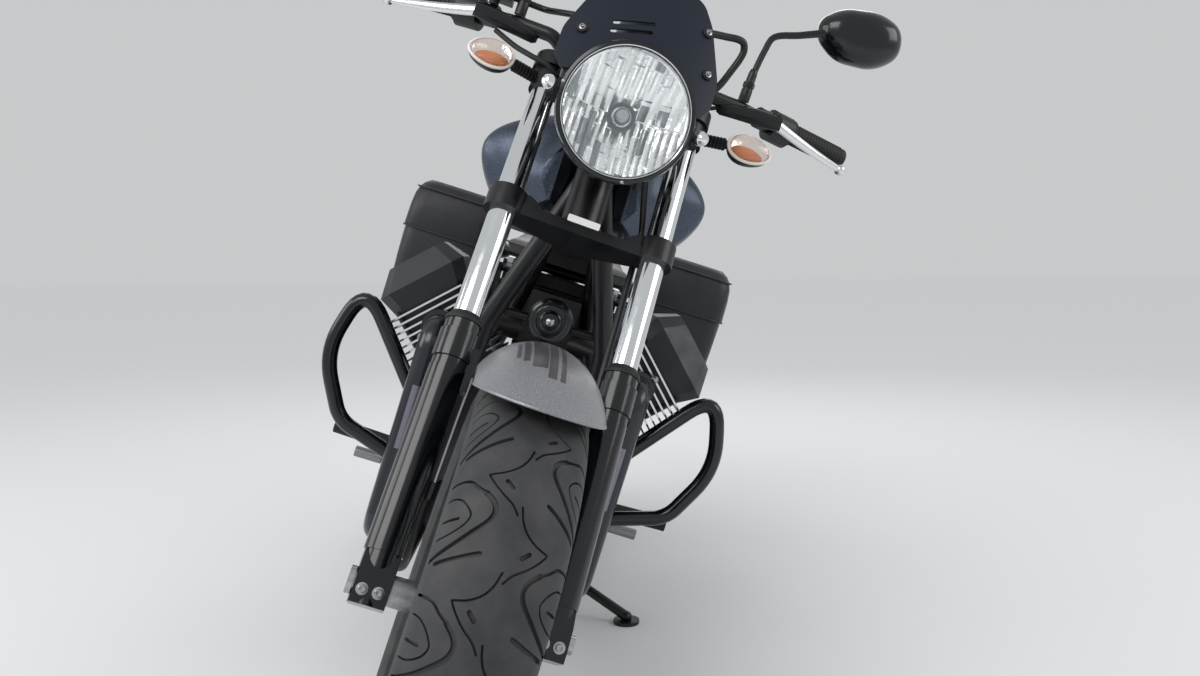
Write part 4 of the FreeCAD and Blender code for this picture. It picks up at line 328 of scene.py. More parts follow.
def grained_leather(name, base, worn, cell_mm, depth_mm, rough):
    """Leather whose cells lie in soft folds."""
    finish, tree, shader = new_finish(name, base, {"IOR": 1.5, "Sheen Weight": 0.08})
    folds = mottle(tree, 42, detail=4.0)
    two_tone(tree, shader, folds, base, worn)
    uneven_gloss(tree, shader, folds, rough * 0.8, rough * 1.25)
    grain = add(tree, "ShaderNodeTexVoronoi", {"Scale": 1.0, "Randomness": 0.9},
                Vector=surface_point(tree, cell_mm))
    height = add(tree, "ShaderNodeMath", {"operation": "MULTIPLY_ADD"})
    tree.links.new(folds, height.inputs[0])
    height.inputs[1].default_value = 2.0
    tree.links.new(grain.outputs["Distance"], height.inputs[2])
    bump(tree, shader, height.outputs["Value"], depth_mm)
    return finish


bag_leather = grained_leather("oiled_bag_leather", "#0A0B0E", "#14161A", 2.4, 0.25, 0.42)
seat_leather = grained_leather("seat_leather", "#0D0D0F", "#17171A", 1.8, 0.2, 0.48)
print("made the leathers")

# %% [markdown]
# Every solid gets a finish first, also one that a finer piece replaces later. A table pairs each finish
# with its solids, so that one loop is enough.

# %% Finish the solids
FINISHES = [
    (wheel_black, "front_rim rear_rim"), (ground_steel, "front_disc rear_disc"),
    (hard_chrome, "fork_tubes"), (gloss_black, "fork_sliders engine_guards"),
    (satin_black, "fork_clamps handlebar headlight_shell lamp_brackets front_caliper side_stand"),
    (satin_black, "main_frame horn swing_arm"), (soft_rubber, "grips foot_pegs"),
    (cast_alloy, "hand_levers foot_controls"), (screen_black, "flyscreen"),
    (grained_black, "switch_blocks mirrors front_indicators instrument air_box tail_unit"),
    (lamp_glass, "headlight_lens"), (silver_paint, "front_mudguard"),
    (zinc_steel, "front_axle rear_axle rear_shocks"), (tyre_rubber, "front_tyre rear_tyre"),
    (engine_black, "engine_block cylinder_left cylinder_right"),
    (exhaust_black, "exhaust_left exhaust_right"), (tank_paint, "fuel_tank side_covers rear_mudguard"),
    (seat_leather, "seat"), (bag_leather, "saddlebag_left saddlebag_right"),
]
for finish, nodes in FINISHES:
    for node in nodes.split():
        mesh = frame["nodes"][node].data
        mesh.materials.clear()
        mesh.materials.append(finish)
print("finished", sum(len(nodes.split()) for finish, nodes in FINISHES), "solids")

# %% [markdown]
# Most added pieces are skins: rings of points joined by quads. A few helpers make a ring, a skin, a
# turned form and a finished piece. An edge stays sharp where faces meet at more than 35 degrees, or at
# the angle that a piece gives.

# %% Mesh helpers


def skin(rings, around=True, caps=True):
    """Points and faces of a surface through rings that have the same number of points."""
    count = len(rings[0])
    points = [point for ring in rings for point in ring]
    steps = count if around else count - 1
    faces = []
    for ring in range(len(rings) - 1):
        start = ring * count
        for k in range(steps):
            after = (k + 1) % count
            faces.append((start + k, start + after, start + count + after, start + count + k))
    if caps and around:
        faces.append(tuple(range(count))[::-1])
        faces.append(tuple(len(points) - count + k for k in range(count)))
    return points, faces


def circle(radius, count):
    """Places across and up on a circle."""
    return [(radius * cos(2 * pi * k / count), radius * sin(2 * pi * k / count)) for k in range(count)]


def lathe(corners, count=48, caps=False):
    """A form turned about X, from corners given as (radius, along)."""
    return skin([[at(along, across, up) for across, up in circle(radius, count)]
                 for radius, along in corners], caps=caps)


def piece(name, form, finish, body, place=BIKE, sharp=35):
    """A finished piece that rides on a body. Its points are in the millimetres of its place."""
    points, faces = form
    mesh = bpy.data.meshes.new(name)
    mesh.from_pydata([place @ Vector(point) for point in points], [], faces)
    shape = bmesh.new()
    shape.from_mesh(mesh)
    bmesh.ops.remove_doubles(shape, verts=shape.verts, dist=0.00001)
    bmesh.ops.recalc_face_normals(shape, faces=shape.faces)
    shape.to_mesh(mesh)
    shape.free()
    mesh.materials.append(finish)
    mesh.shade_smooth()
    mesh.set_sharp_from_angle(angle=radians(sharp))
    made = bpy.data.objects.new(name, mesh)
    bpy.context.scene.collection.objects.link(made)
    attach(made, body)
    return made


def merged(parts):
    """One set of points and faces from several."""
    points = []
    faces = []
    for part_points, part_faces in parts:
        start = len(points)
        points += [Vector(point) for point in part_points]
        faces += [tuple(start + corner for corner in face) for face in part_faces]
    return points, faces


def moved(part, matrix):
    """A form in another place."""
    return [matrix @ Vector(point) for point in part[0]], part[1]


def rounded(corners, radii, steps=6):
    """A closed outline through corners, each eased by its own radius."""
    outline = []
    count = len(corners)
    for place in range(count):
        corner = Vector(corners[place])
        before = Vector(corners[place - 1]) - corner
        after = Vector(corners[(place + 1) % count]) - corner
        turn = (pi - before.angle(after)) / 2
        cut = min(radii[place] * tan(turn), before.length * 0.48, after.length * 0.48)
        start = corner + before.normalized() * cut
        end = corner + after.normalized() * cut
        for step in range(steps + 1):
            share = step / steps
            outline.append(start * (1 - share) ** 2 + corner * 2 * share * (1 - share) + end * share ** 2)
    return outline


def oblong(half_wide, half_tall, radius, steps):
    """A closed outline, in X and Y, of a rectangle with round corners."""
    corners = [(across * half_wide, up * half_tall, 0)
               for across, up in ((-1, -1), (1, -1), (1, 1), (-1, 1))]
    return rounded(corners, [radius] * 4, steps)


def distances(points):
    """How far along a line each of its points lies."""
    spots = [0.0]
    for before, after in zip(points, points[1:]):
        spots.append(spots[-1] + (after - before).length)
    return spots


def eased(spots, rings, steps=5):
    """More rings between the given ones, on smooth curves that pass through them."""
    last = len(rings) - 1
    count = len(rings[0])
    slopes = []
    for place in range(last + 1):
        low = max(place - 1, 0)
        high = min(place + 1, last)
        slopes.append([(rings[high][k] - rings[low][k]) / (spots[high] - spots[low]) for k in range(count)])
    full = []
    for place in range(last):
        run = spots[place + 1] - spots[place]
        for step in range(steps):
            t = step / steps
            start_share = 2 * t ** 3 - 3 * t ** 2 + 1
            start_pull = (t ** 3 - 2 * t ** 2 + t) * run
            end_pull = (t ** 3 - t ** 2) * run
            full.append([rings[place][k] * start_share + rings[place + 1][k] * (1 - start_share)
                         + slopes[place][k] * start_pull + slopes[place + 1][k] * end_pull
                         for k in range(count)])
    full.append(list(rings[last]))
    return full


def cord_rings(points, radius, sides=12, steps=8):
    """Rings of a round cord along a smooth line. The radius is a number, or one for each point."""
    points = [Vector(point) for point in points]
    sizes = radius if isinstance(radius, list) else [radius] * len(points)
    knots = [[point, at(size, 0, 0)] for point, size in zip(points, sizes)]
    line = eased(distances(points), knots, steps)
    rings = []
    across = None
    for place, (point, size) in enumerate(line):
        along = line[min(place + 1, len(line) - 1)][0] - line[max(place - 1, 0)][0]
        along.normalize()
        across = along.orthogonal() if across is None else across - along * across.dot(along)
        across.normalize()
        other = along.cross(across)
        rings.append([point + across * wide + other * tall for wide, tall in circle(size.x, sides)])
    return rings


def cord(points, radius, sides=12, steps=8):
    """A round cord or tube along a smooth line."""
    return skin(cord_rings(points, radius, sides, steps))


def aimed(point, direction):
    """Turns a form drawn along X so that it stands on a point and looks in a direction."""
    return Matrix.Translation(point) @ Vector(direction).to_track_quat("X", "Z").to_matrix().to_4x4()


def twin(part):
    """A form and its mirror image across the middle of the motorcycle."""
    return merged([part, ([Vector((p[0], -p[1], p[2])) for p in part[0]], part[1])])


def socket_bolt(radius, height):
    """A socket-headed bolt on a washer."""
    return lathe([(0.05, 0), (radius * 1.5, 0), (radius * 1.5, 1.0), (radius * 1.05, 1.3),
                  (radius, height - 0.8), (radius * 0.86, height), (radius * 0.55, height),
                  (radius * 0.5, height * 0.45), (0.05, height * 0.4)], 20)


def dome_nut(radius, height):
    """A closed nut with a round cap."""
    return lathe([(0.05, 0), (radius, 0), (radius, height * 0.35), (radius * 0.88, height * 0.45),
                  (radius * 0.8, height * 0.7), (radius * 0.5, height * 0.93), (0.05, height)], 20)


def placed(form, spots):
    """Copies of a form on points, each looking in its direction."""
    return merged([moved(form, aimed(point, direction)) for point, direction in spots])


# Turns a form drawn along X so that it stands up
STANDING = turning("Y", -90)
print("mesh helpers ready")

# %% [markdown]
# The tread has arches that open to the sidewalls, with a smaller arch and a slit inside each, an angled
# line near the crown, a slanted slit and a short one. The left half repeats the right half, half a pitch
# on. Bump alone would leave the edges smooth, so the grooves are real. One pitch is laid out flat: every
# groove becomes a band with an outer and a sunken inner outline, a triangulation joins all outlines to a
# net of points, and the flat tile is then bent round the wheel and repeated.

# %% Tread pattern
# Each tyre's radius at its crown, and the radius of the arc across it
FRONT_TYRE = (320, 68.5)
REAR_TYRE = (323, 75)
PITCHES = 15
PITCH_MM = 2 * pi * FRONT_TYRE[0] / PITCHES
# Where the tread ends, in millimetres from the crown
TREAD_EDGE = 93
GROOVE_DEEP = 3.8
GROOVE_WALL = 0.7
# Tyre sidewalls: where they end, in degrees from the crown, and the bead's place across and from the axle
SIDEWALL_END = 118
BEAD = (46, 216)
# Groove lines: half width, then points as share of the pitch round the tyre and millimetres from the
# crown
GROOVES = [
    (2.9, [(-0.42, 96), (-0.36, 80), (-0.26, 58), (-0.15, 40), (-0.05, 27), (0.03, 24), (0.1, 28),
           (0.17, 38)]),
    (1.8, [(0.17, 38), (0.22, 49), (0.28, 60), (0.3, 74), (0.31, 96)]),
    (1.2, [(-0.22, 92), (-0.19, 72), (-0.12, 55), (-0.04, 48), (0.02, 51), (0.1, 62), (0.14, 74),
           (0.15, 90)]),
    (1.8, [(-0.05, 62), (-0.06, 88)]),
    (2.7, [(-0.31, 27), (-0.38, 54), (-0.43, 78)]),
    (1.2, [(0.33, 40), (0.26, 33), (0.17, 21), (0.1, 9), (0.03, 2)]),
    (1.2, [(0.33, 40), (0.36, 24), (0.42, 12), (0.5, 5), (0.6, 1)]),
    (2.3, [(0.285, 20), (0.235, 13)]),
]


def smooth_line(points):
    """Points along a smooth line in the tile's millimetres, closely spaced."""
    line = [at(share * PITCH_MM, across, 0) for share, across in points]
    spots = distances(line)
    if len(line) == 2:
        count = max(1, round(spots[-1] / 4))
        return [line[0].lerp(line[1], step / count) for step in range(count + 1)]
    return [ring[0] for ring in eased(spots, [[point] for point in line], 4)]


def band_outline(line, half):
    """A closed outline at one distance all round a line, with round ends."""
    left = []
    right = []
    for place, point in enumerate(line):
        along = (line[min(place + 1, len(line) - 1)] - line[max(place - 1, 0)]).normalized()
        across = at(-along.y, along.x, 0) * half
        left.append(point + across)
        right.append(point - across)
    closed = left
    for end, before, order in ((line[-1], line[-2], right[::-1]), (line[0], line[1], [])):
        out = (end - before).normalized() * half
        across = at(-out.y, out.x, 0)
        closed = closed + [end + (out + across) * 0.7071, end + out, end + (out - across) * 0.7071] + order
    return closed


def groove_bands(scale):
    """The lines, with half widths, of all grooves that touch one pitch."""
    bands = []
    for half, points in GROOVES:
        line = smooth_line(points)
        for pitch in (-2, -1, 0, 1, 2):
            for on, side in ((pitch, 1), (pitch + 0.5, -1)):
                bands.append(([at(p.x + on * PITCH_MM, side * p.y * scale, 0) for p in line], half))
    return [(line, half) for line, half in bands if any(-8 < point.x < PITCH_MM + 8 for point in line)]


def sunk_share(point, bands):
    """How far a point of the tile is pushed into a groove, from 0 to 1."""
    sunk = 0.0
    for line, half in bands:
        if min((point.x - p.x) ** 2 + (point.y - p.y) ** 2 for p in line) >= (half + 3) ** 2:
            continue
        for p, q in zip(line, line[1:]):
            start = Vector((p.x, p.y))
            run = Vector((q.x, q.y)) - start
            share = max(0.0, min(1.0, (point - start).dot(run) / run.length_squared))
            away = (point - start - run * share).length
            sunk = max(sunk, min(1.0, max(0.0, (half - 0.05 - away) / 0.6)))
    return sunk


def tread_tile(scale, grid_mm):
    """Points (round, across, sunk) and faces of one pitch, laid flat."""
    bands = groove_bands(scale)
    limit = TREAD_EDGE * scale
    points = []
    edges = []
    for line, half in bands:
        for width in (half, half - GROOVE_WALL):
            outline = band_outline(line, width)
            start = len(points)
            points += [Vector((p.x, p.y)) for p in outline]
            edges += [(start + k, start + (k + 1) % len(outline)) for k in range(len(outline))]
    columns = round(PITCH_MM / grid_mm)
    rows = round(2 * limit / grid_mm)
    start = len(points)
    high = rows + 1
    points += [Vector((PITCH_MM * column / columns, limit * (2 * row / rows - 1)))
               for column in range(columns + 1) for row in range(high)]
    for column in (0, columns):
        edges += [(start + column * high + row, start + column * high + row + 1) for row in range(rows)]
    for row in (start, start + rows):
        edges += [(row + column * high, row + column * high + high) for column in range(columns)]
    flat, _, faces, _, _, _ = delaunay_2d_cdt(points, edges, [], 0, 0.02)
    solid = [at(point.x, point.y, sunk_share(point, bands) * GROOVE_DEEP) for point in flat]
    kept = []
    for face in faces:
        middle = sum((flat[corner] for corner in face), Vector((0, 0))) / len(face)
        if 0 < middle.x < PITCH_MM and abs(middle.y) < limit:
            kept.append(tuple(face))
    return solid, kept, limit


print("one pitch of tread is", round(PITCH_MM, 1), "mm")

# %% Tyres


def tyre(node, radius, half, grid_mm, body, place):
    """A tyre with sunk grooves over its tread, and sidewalls with two moulded ribs."""
    centre = radius - half
    tile, faces, limit = tread_tile(half / FRONT_TYRE[1], grid_mm)
    parts = []
    for pitch in range(PITCHES):
        bent = []
        for point in tile:
            angle = 2 * pi * (pitch + point.x / PITCH_MM) / PITCHES
            tilt = point.y / half
            lift = centre + (half - point.z) * cos(tilt)
            bent.append(at(lift * cos(angle), (half - point.z) * sin(tilt), lift * sin(angle)))
        parts.append((bent, faces))
    tread_end = degrees(limit / half)
    profile = []
    for step in range(13):
        tilt = radians(tread_end + (SIDEWALL_END - tread_end) * step / 12)
        proud = half + (0.7 if step in (3, 4, 8) else 0.0)
        profile.append((proud * sin(tilt), centre + proud * cos(tilt)))
    profile.append(BEAD)
    for side in (1, -1):
        parts.append(skin([[at(ahead, side * across, up) for ahead, up in circle(lift, 180)]
                           for across, lift in profile], caps=False))
    return piece(node + "_tread", merged(parts), tyre_rubber, body, place, sharp=38)


front_tyre = tyre("front_tyre", *FRONT_TYRE, 5.5, "front_wheel", FORK)
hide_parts("front_tyre")
rear_tyre = tyre("rear_tyre", *REAR_TYRE, 8, "rear_wheel", REAR_WHEEL)
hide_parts("rear_tyre")
print("tyres have", len(front_tyre.data.polygons), "and", len(rear_tyre.data.polygons), "faces")

# %% [markdown]
# The headlight is a painted steel bucket with a rim, a thin bright ring, a vacuum-metallised bowl
# pressed with upright flutes, and a capped bulb. The bowl is a net of points over a disc, pushed back
# like a dish, with each strip of it curved on its own. That breaks the reflection as flutes do.

# %% Headlight bucket and rim
LAMP = STEERED @ shift(1293, 0, 981)
bucket = lathe([(87.3, 4), (91, 6), (95, 4.5), (96, 1), (96, -20), (93, -24), (90, -50), (84, -72),
                (70, -90), (50, -103), (26, -110), (0.2, -112)], 96)
rim = piece("headlight_bucket", bucket, gloss_black, "fork", LAMP)
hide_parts("headlight_shell")
bright_ring = lathe([(87.4, 3.5), (87.8, 6.6), (88.9, 7), (89.8, 5.6), (88.6, 3.2)], 96)
piece("headlight_bright_ring", bright_ring, hard_chrome, "fork", LAMP)
lens_form = lathe([(87.2, 3.4), (80, 5.2), (66, 7.2), (48, 8.8), (24, 10), (0.2, 10.4)], 96)
lens = piece("headlight_glass", lens_form, lamp_glass, "fork", LAMP)
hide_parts("headlight_lens")
print("headlight bucket made")

# %% Fluted bowl


def metallised_finish(name, base, rough):
    """Thin aluminium on plastic, a little uneven."""
    finish, tree, shader = new_finish(name, base, {"Metallic": 0.9, "Roughness": rough})
    bump(tree, shader, mottle(tree, 6, detail=2.0), 0.5)
    return finish


metallised = metallised_finish("vacuum_metallised_bowl", "#FBFCFC", 0.2)
# The darker copy of the bowl finish is a painted dark reflection, for flutes that would mirror dark things.
metallised_painted_dark_reflection = metallised_finish("vacuum_metallised_painted_dark_reflection", "#8C9292", 0.24)
BOWL_RADIUS = 86
BOWL_GRID = 180
FLUTE_MM = 13.5
FLUTE_TALL = 38
FLUTES = [(strip, band) for strip in range(-9, 10) for band in range(-6, 7)]
random.seed(7)
flute_lift = {flute: random.uniform(-1.2, 1.2) for flute in FLUTES}
flute_tilt = {flute: random.uniform(-0.16, 0.16) for flute in FLUTES}
# About one flute in five, chosen at random, gets the painted dark reflection.
painted_dark_flutes = {flute for flute in FLUTES if random.random() < 0.2}


def flute_place(across, up):
    """Strip and band of the flute at a place, and how far over its strip the place lies."""
    wide = FLUTE_MM if up > 0 else FLUTE_MM * 0.72
    strip = floor(across / wide + 0.5)
    band = floor(up / FLUTE_TALL + (0.5 if strip % 2 else 0.12))
    return strip, band, across / wide - strip


def bowl_height(across, up):
    """How far forward the bowl stands at a place on its face."""
    strip, band, within = flute_place(across, up)
    flute = (max(-9, min(9, strip)), band)
    dish = -66 + 52 * (hypot(across, up) / BOWL_RADIUS) ** 2
    return dish + 9 * within * within + flute_lift[flute] + flute_tilt[flute] * (up - band * FLUTE_TALL)


bowl_points = []
bowl_faces = []
index = {}
for row in range(BOWL_GRID + 1):
    for column in range(BOWL_GRID + 1):
        across = BOWL_RADIUS * (2 * column / BOWL_GRID - 1)
        up = BOWL_RADIUS * (2 * row / BOWL_GRID - 1)
        if 15 < hypot(across, up) <= BOWL_RADIUS + 0.5:
            index[(row, column)] = len(bowl_points)
            bowl_points.append((min(bowl_height(across, up), -3), across, up))
for row, column in index:
    corners = [(row, column), (row, column + 1), (row + 1, column + 1), (row + 1, column)]
    if all(corner in index for corner in corners):
        bowl_faces.append(tuple(index[corner] for corner in corners))
bowl = piece("headlight_bowl", (bowl_points, bowl_faces), metallised, "fork", LAMP, sharp=60)
bowl.data.materials.append(metallised_painted_dark_reflection)
lamp_inverse = LAMP.inverted()
for face in bowl.data.polygons:
    spot = lamp_inverse @ face.center
    strip, band, within = flute_place(spot.y, spot.z)
    # Beside the bulb, every other strip also gets the painted dark reflection.
    painted_dark_beside_bulb = 3 < spot.z < 27 and 22 < spot.y < 62 and strip % 2 == 0
    if painted_dark_beside_bulb or (strip, band) in painted_dark_flutes:
        face.material_index = 1
print("bowl has", len(bowl_faces), "faces")

# %% Bulb and bowl trim
bulb_edge = cord([(-54, 20, 2), (-46, 40, 2.4), (-34, 60, 2.8), (-17, 82, 3)], 0.9, 8, 6)
bulb_mark = cord([(-40, -2 + across, -49 + up) for across, up in circle(5, 16) + [(5, 0)]], 0.8, 6, 1)
LAMP_TURNED = [
    # name, corners as (radius, along), corners round, finish, slot
    ("headlight_bowl_wall", [(85, -14), (87, -12), (87, 2), (86, 3)], 96, metallised, "fork_chrome"),
    ("headlight_bulb_ring", [(20.5, -64), (20.5, -50), (18.5, -47), (15.2, -48), (14.8, -60)], 64,
     grained_black, "black_paint"),
    ("headlight_bulb_collar", [(14.6, -60), (14.6, -47), (13.4, -45.6), (11.4, -47), (11.4, -60)], 64,
     hard_chrome, "fork_chrome"),
    ("headlight_bulb_cap", [(9.5, -66), (9.5, -40), (8.6, -36), (6, -33.6), (0.3, -33)], 40,
     zinc_steel, "fork_chrome"),
    ("headlight_bulb_well", [(11.4, -58), (0.3, -58)], 40, grained_black, "black_paint"),
]
for name, corners, count, finish, slot in LAMP_TURNED:
    piece(name, lathe(corners, count), finish, "fork", LAMP)
piece("headlight_bowl_edge", merged([bulb_edge, bulb_mark]), machined_alloy, "fork", LAMP)
print("bulb made")

# %% [markdown]
# The fuel tank is a skin through eight sections, eased along its length. Each section has a soft crease
# at its widest place, a round shoulder and a tunnel underneath that clears the frame's tubes.

# %% Fuel tank
# Stations: forward, half width, crease height, top height, half of the bottom, bottom height
TANK_STATIONS = [
    (636, 62, 822, 858, 50, 800), (700, 110, 846, 906, 84, 792), (820, 165, 874, 968, 118, 790),
    (930, 187, 890, 1000, 130, 792), (1005, 190, 896, 1002, 128, 800), (1027, 164, 893, 994, 112, 812),
    (1051, 110, 886, 972, 84, 832), (1080, 80, 884, 955, 62, 848),
]


def corner_cut(line, rounds):
    """An open line whose corners are cut off again and again, until they are soft."""
    for _ in range(rounds):
        softer = [line[0]]
        for start, end in zip(line, line[1:]):
            softer += [start.lerp(end, 0.25), start.lerp(end, 0.75)]
        line = softer + [line[-1]]
    return line


def tank_ring(forward, half, crease, top, low_half, low):
    """One section: over the top from side to side, then back through the tunnel."""
    shoulder = crease + (top - crease) * 0.53
    inner = min(72, low_half - 4)
    tunnel = 887 + (forward - 770) * 75 / 380
    roof = min(max(tunnel, low + 3), top - 10)
    side = [(low_half, low), (half * 1.055, crease), (half * 0.89, shoulder), (half * 0.31, top + 1)]
    over = [at(forward, -across, up) for across, up in side] + [at(forward, *spot) for spot in side[::-1]]
    under = [(inner, low), (inner, roof), (-inner, roof), (-inner, low)]
    return corner_cut(over, 4) + [at(forward, across, up) for across, up in under]


tank_rings = eased([station[0] for station in TANK_STATIONS],
                   [tank_ring(*station) for station in TANK_STATIONS], 6)
tank = piece("fuel_tank_skin", skin(tank_rings), tank_paint, "frame", sharp=48)
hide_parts("fuel_tank")
print("tank has", len(tank.data.polygons), "faces")

# %% Fuel cap
CAP_MIDDLE = 895
cap_form = lathe([(0.1, -12), (37, -12), (38, 3), (36.5, 5), (32, 5.6), (32, 10), (30, 13), (25, 14),
                  (12, 14.4), (11, 13), (0.1, 13)], 64)
tops = []
for away in (-40, 40):
    ring = min(tank_rings, key=lambda ring: abs(ring[0].x - CAP_MIDDLE - away))
    tops.append(max(ring, key=lambda point: point.z))
cap_run = tops[1] - tops[0]
cap_foot = at(CAP_MIDDLE, 0, (tops[0].z + tops[1].z) / 2)
piece("fuel_cap", moved(cap_form, aimed(cap_foot, (-cap_run.z, 0, cap_run.x))), hard_chrome, "frame")
print("fuel cap stands at", [round(part, 1) for part in cap_foot])

# %% [markdown]
# The saddlebags are stiff leather boxes. Each has a body, a lid that folds over its front and outer
# faces with a piped edge, two straps with buckles, and panels that belly out a few millimetres.

# %% Bag shapes
BAG_LOW = 528
BAG_TALL = 322
BAG_INNER = 215
BAG_OUTER = 395
BAG_FRONT = 300
BAG_REAR = -110
BODY_SWELL = 3.0
LID_SWELL = 2.0
# Levels of the body: share of its height and how far it draws in
BAG_BODY = [(0.0, 30), (0.015, 20), (0.04, 13), (0.08, 8), (0.2, 4), (0.4, 1.5), (0.6, 0.5), (0.66, 2)]
# Levels of the lid, from its lower edge to its top
BAG_LID = [(0.625, 3), (0.625, -1.5), (0.64, -2.5), (0.8, -1), (0.88, 2), (0.93, 7), (0.97, 15), (1.0, 27)]
# A strap's middle line: distance out from the middle plane, and height
STRAP_LINE = [(330, 851.5), (364, 851.5), (381, 842), (391, 828), (397, 812), (400, 785), (401.5, 745),
              (401, 728), (399.5, 700), (398.5, 660), (397.5, 615)]
STRAP_HALF = at(13, 0, 0)
STRAPS_AHEAD = (30, 165)
BUCKLE_ACROSS = 403.5


def bag_ring(share, draw, side, swell):
    """One level of a bag, whose outer corners are round and whose panels belly out."""
    outer = BAG_OUTER - draw
    front = BAG_FRONT - draw
    rear = BAG_REAR + draw
    corners = [(rear, BAG_INNER, 0), (front, BAG_INNER, 0), (front, outer, 0), (rear, outer, 0)]
    flat = rounded(corners, [8, 8, 38, 38], 9)
    full = []
    for point, after in zip(flat, flat[1:] + flat[:1]):
        full.append(point)
        run = (after - point).length
        extra = int(run / 28)
        out = at(after.y - point.y, point.x - after.x, 0).normalized() * (swell if run > 60 else 0)
        for step in range(1, extra + 1):
            place = step / (extra + 1)
            full.append(point.lerp(after, place) + out * sin(pi * place))
    return [at(point.x, side * point.y, BAG_LOW + BAG_TALL * share) for point in full]


def bag_skin(levels, side, swell):
    """A skin through a bag's levels."""
    rings = [bag_ring(share, draw, side, swell) for share, draw in levels]
    count = min(len(ring) for ring in rings)
    return skin([ring[:count] for ring in rings])


def bag_piping(share, draw, side, radius):
    """A piped edge round the bag's front, outer and rear faces."""
    ring = bag_ring(share, draw - 3, side, LID_SWELL)
    return cord([point for point in ring if abs(point.y) > BAG_INNER + 4], radius, 8, 2)


def bag_strap(forward, side):
    """A flat strap over the lid and down the outer face."""
    rings = []
    for ring in cord_rings([(forward, side * across, up) for across, up in STRAP_LINE], 1.0, 4, 5):
        middle = sum(ring, Vector()) / 4
        out = (at(0, side * 0.5, 0.5) if middle.z > 840 else at(0, side, 0)) * 1.5
        rings.append([middle + STRAP_HALF - out, middle + STRAP_HALF + out, middle - STRAP_HALF + out,
                      middle - STRAP_HALF - out])
    return skin(rings)


def bag_buckle(forward, side):
    """The cords of a square buckle and its pin."""
    out = side * BUCKLE_ACROSS
    frame_line = [(forward + across, out, up) for across, up in
                  ((-17, 690), (-17, 715), (17, 715), (17, 690), (-17, 690))]
    edges = [cord([start, end], 2.0, 8, 1) for start, end in zip(frame_line, frame_line[1:])]
    return edges + [cord([(forward, out, 690), (forward, out + side * 1.5, 717)], 1.4, 8, 1)]


# %% Saddlebags
for side, node in ((1, "saddlebag_left"), (-1, "saddlebag_right")):
    body_form = bag_skin(BAG_BODY, side, BODY_SWELL)
    body = piece(node + "_body", body_form, bag_leather, "frame", sharp=50)
    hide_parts(node)
    lid = bag_skin(BAG_LID, side, LID_SWELL)
    piece(node + "_lid", lid, bag_leather, "frame", sharp=50)
    piping = merged([bag_piping(0.63, 0, side, 2.2), bag_piping(0.93, 6, side, 1.8)])
    piece(node + "_piping", piping, seat_leather, "frame")
    straps = merged([bag_strap(forward, side) for forward in STRAPS_AHEAD])
    piece(node + "_straps", straps, seat_leather, "frame", sharp=30)
    buckles = merged([edge for forward in STRAPS_AHEAD for edge in bag_buckle(forward, side)])
    piece(node + "_buckles", buckles, zinc_steel, "frame")
    print(node, "has", len(body.data.polygons), "faces")

# %% [markdown]
# The seat is foam under a stretched cover. It is crowned across, dips where the rider sits, and has a
# cross seam between rider and passenger and a piped lower edge.

# %% Seat
# Stations from the front: forward, half width, top height
SEAT_STATIONS = [
    (632, 70, 802), (600, 86, 797), (560, 100, 790), (460, 138, 788), (340, 140, 792), (290, 134, 806),
    (262, 128, 820), (180, 118, 838), (40, 112, 836), (-90, 100, 826), (-118, 92, 812), (-128, 84, 800),
]
SEAM_AT = 272


def seat_ring(forward, half, top):
    """One section of the seat's cover."""
    side = [(-half + 10, 748), (-half, 766), (-half + 14, top - 10)]
    corners = side + [(0, top + 3)] + [(-across, up) for across, up in side[::-1]]
    flat = rounded([(across, up, 0) for across, up in corners], [5, 9, 36, 120, 36, 9, 5], 9)
    return [at(forward, point.x, point.y) for point in flat]


seat_rings = eased([-station[0] for station in SEAT_STATIONS],
                   [seat_ring(*station) for station in SEAT_STATIONS], 6)
for point in [point for ring in seat_rings for point in ring if point.z > 770]:
    point.z -= 5 * exp(-((point.x - SEAM_AT) / 7) ** 2)
seat = piece("seat_cover", skin(seat_rings), seat_leather, "frame", sharp=60)
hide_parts("seat")
edge_line = [(forward, half + 0.6, 766) for forward, half, top in SEAT_STATIONS]
piece("seat_piping", twin(cord(edge_line, 2.0, 8, 4)), bag_leather, "frame")
print("seat has", len(seat.data.polygons), "faces")

# %% [markdown]
# A mudguard is a thin pressed sheet. It is drawn as a net over two arcs, one round the wheel and one
# across it. The front lip runs nearly level, and a rolled bead stiffens it. Plain darker stripes of
# five widths lie on the crown as thin skins.

# %% Mudguard sheets
SHEET_THICK = 3.0


class Guard:
    """A mudguard's two arcs, from its radius at the crown, half width and depth across."""

    def __init__(self, crown, half, deep):
        self.crown = crown
        self.bow = (deep ** 2 + half ** 2) / (2 * deep)
        self.half_arc = asin(half / self.bow)

    def lift(self, tilt, inset=0.0):
        """How far the sheet stands from the axle at a tilt."""
        return self.crown - self.bow + (self.bow - inset) * cos(tilt)

    def point(self, tilt, turn, inset=0.0):
        """A point of the sheet: tilt across the wheel and turn round it, both in radians."""
        lift = self.lift(tilt, inset)
        return at(lift * cos(turn), (self.bow - inset) * sin(tilt), lift * sin(turn))

    def tilts(self, steps):
        """Even tilts from edge to edge."""
        return [self.half_arc * (2 * place / steps - 1) for place in range(steps + 1)]

    def sheet(self, turn_at, steps_across, steps_round):
        """The sheet, whose turn at a tilt and at a share of its run is given."""
        rings = []
        for step in range(steps_round + 1):
            spots = [(tilt, turn_at(tilt, step / steps_round)) for tilt in self.tilts(steps_across)]
            inner = [self.point(*spot, SHEET_THICK) for spot in spots]
            rings.append([self.point(*spot) for spot in spots] + inner[::-1])
        return skin(rings)


# %% Front mudguard
FRONT_CROWN = 345
FRONT_GUARD = Guard(FRONT_CROWN, 80, 54)
LIP_SLOPE = 0.118
LIP_ANGLE = radians(59)
LIP_HEIGHT = FRONT_CROWN * (sin(LIP_ANGLE) - LIP_SLOPE * cos(LIP_ANGLE))
REAR_TURN = radians(166)


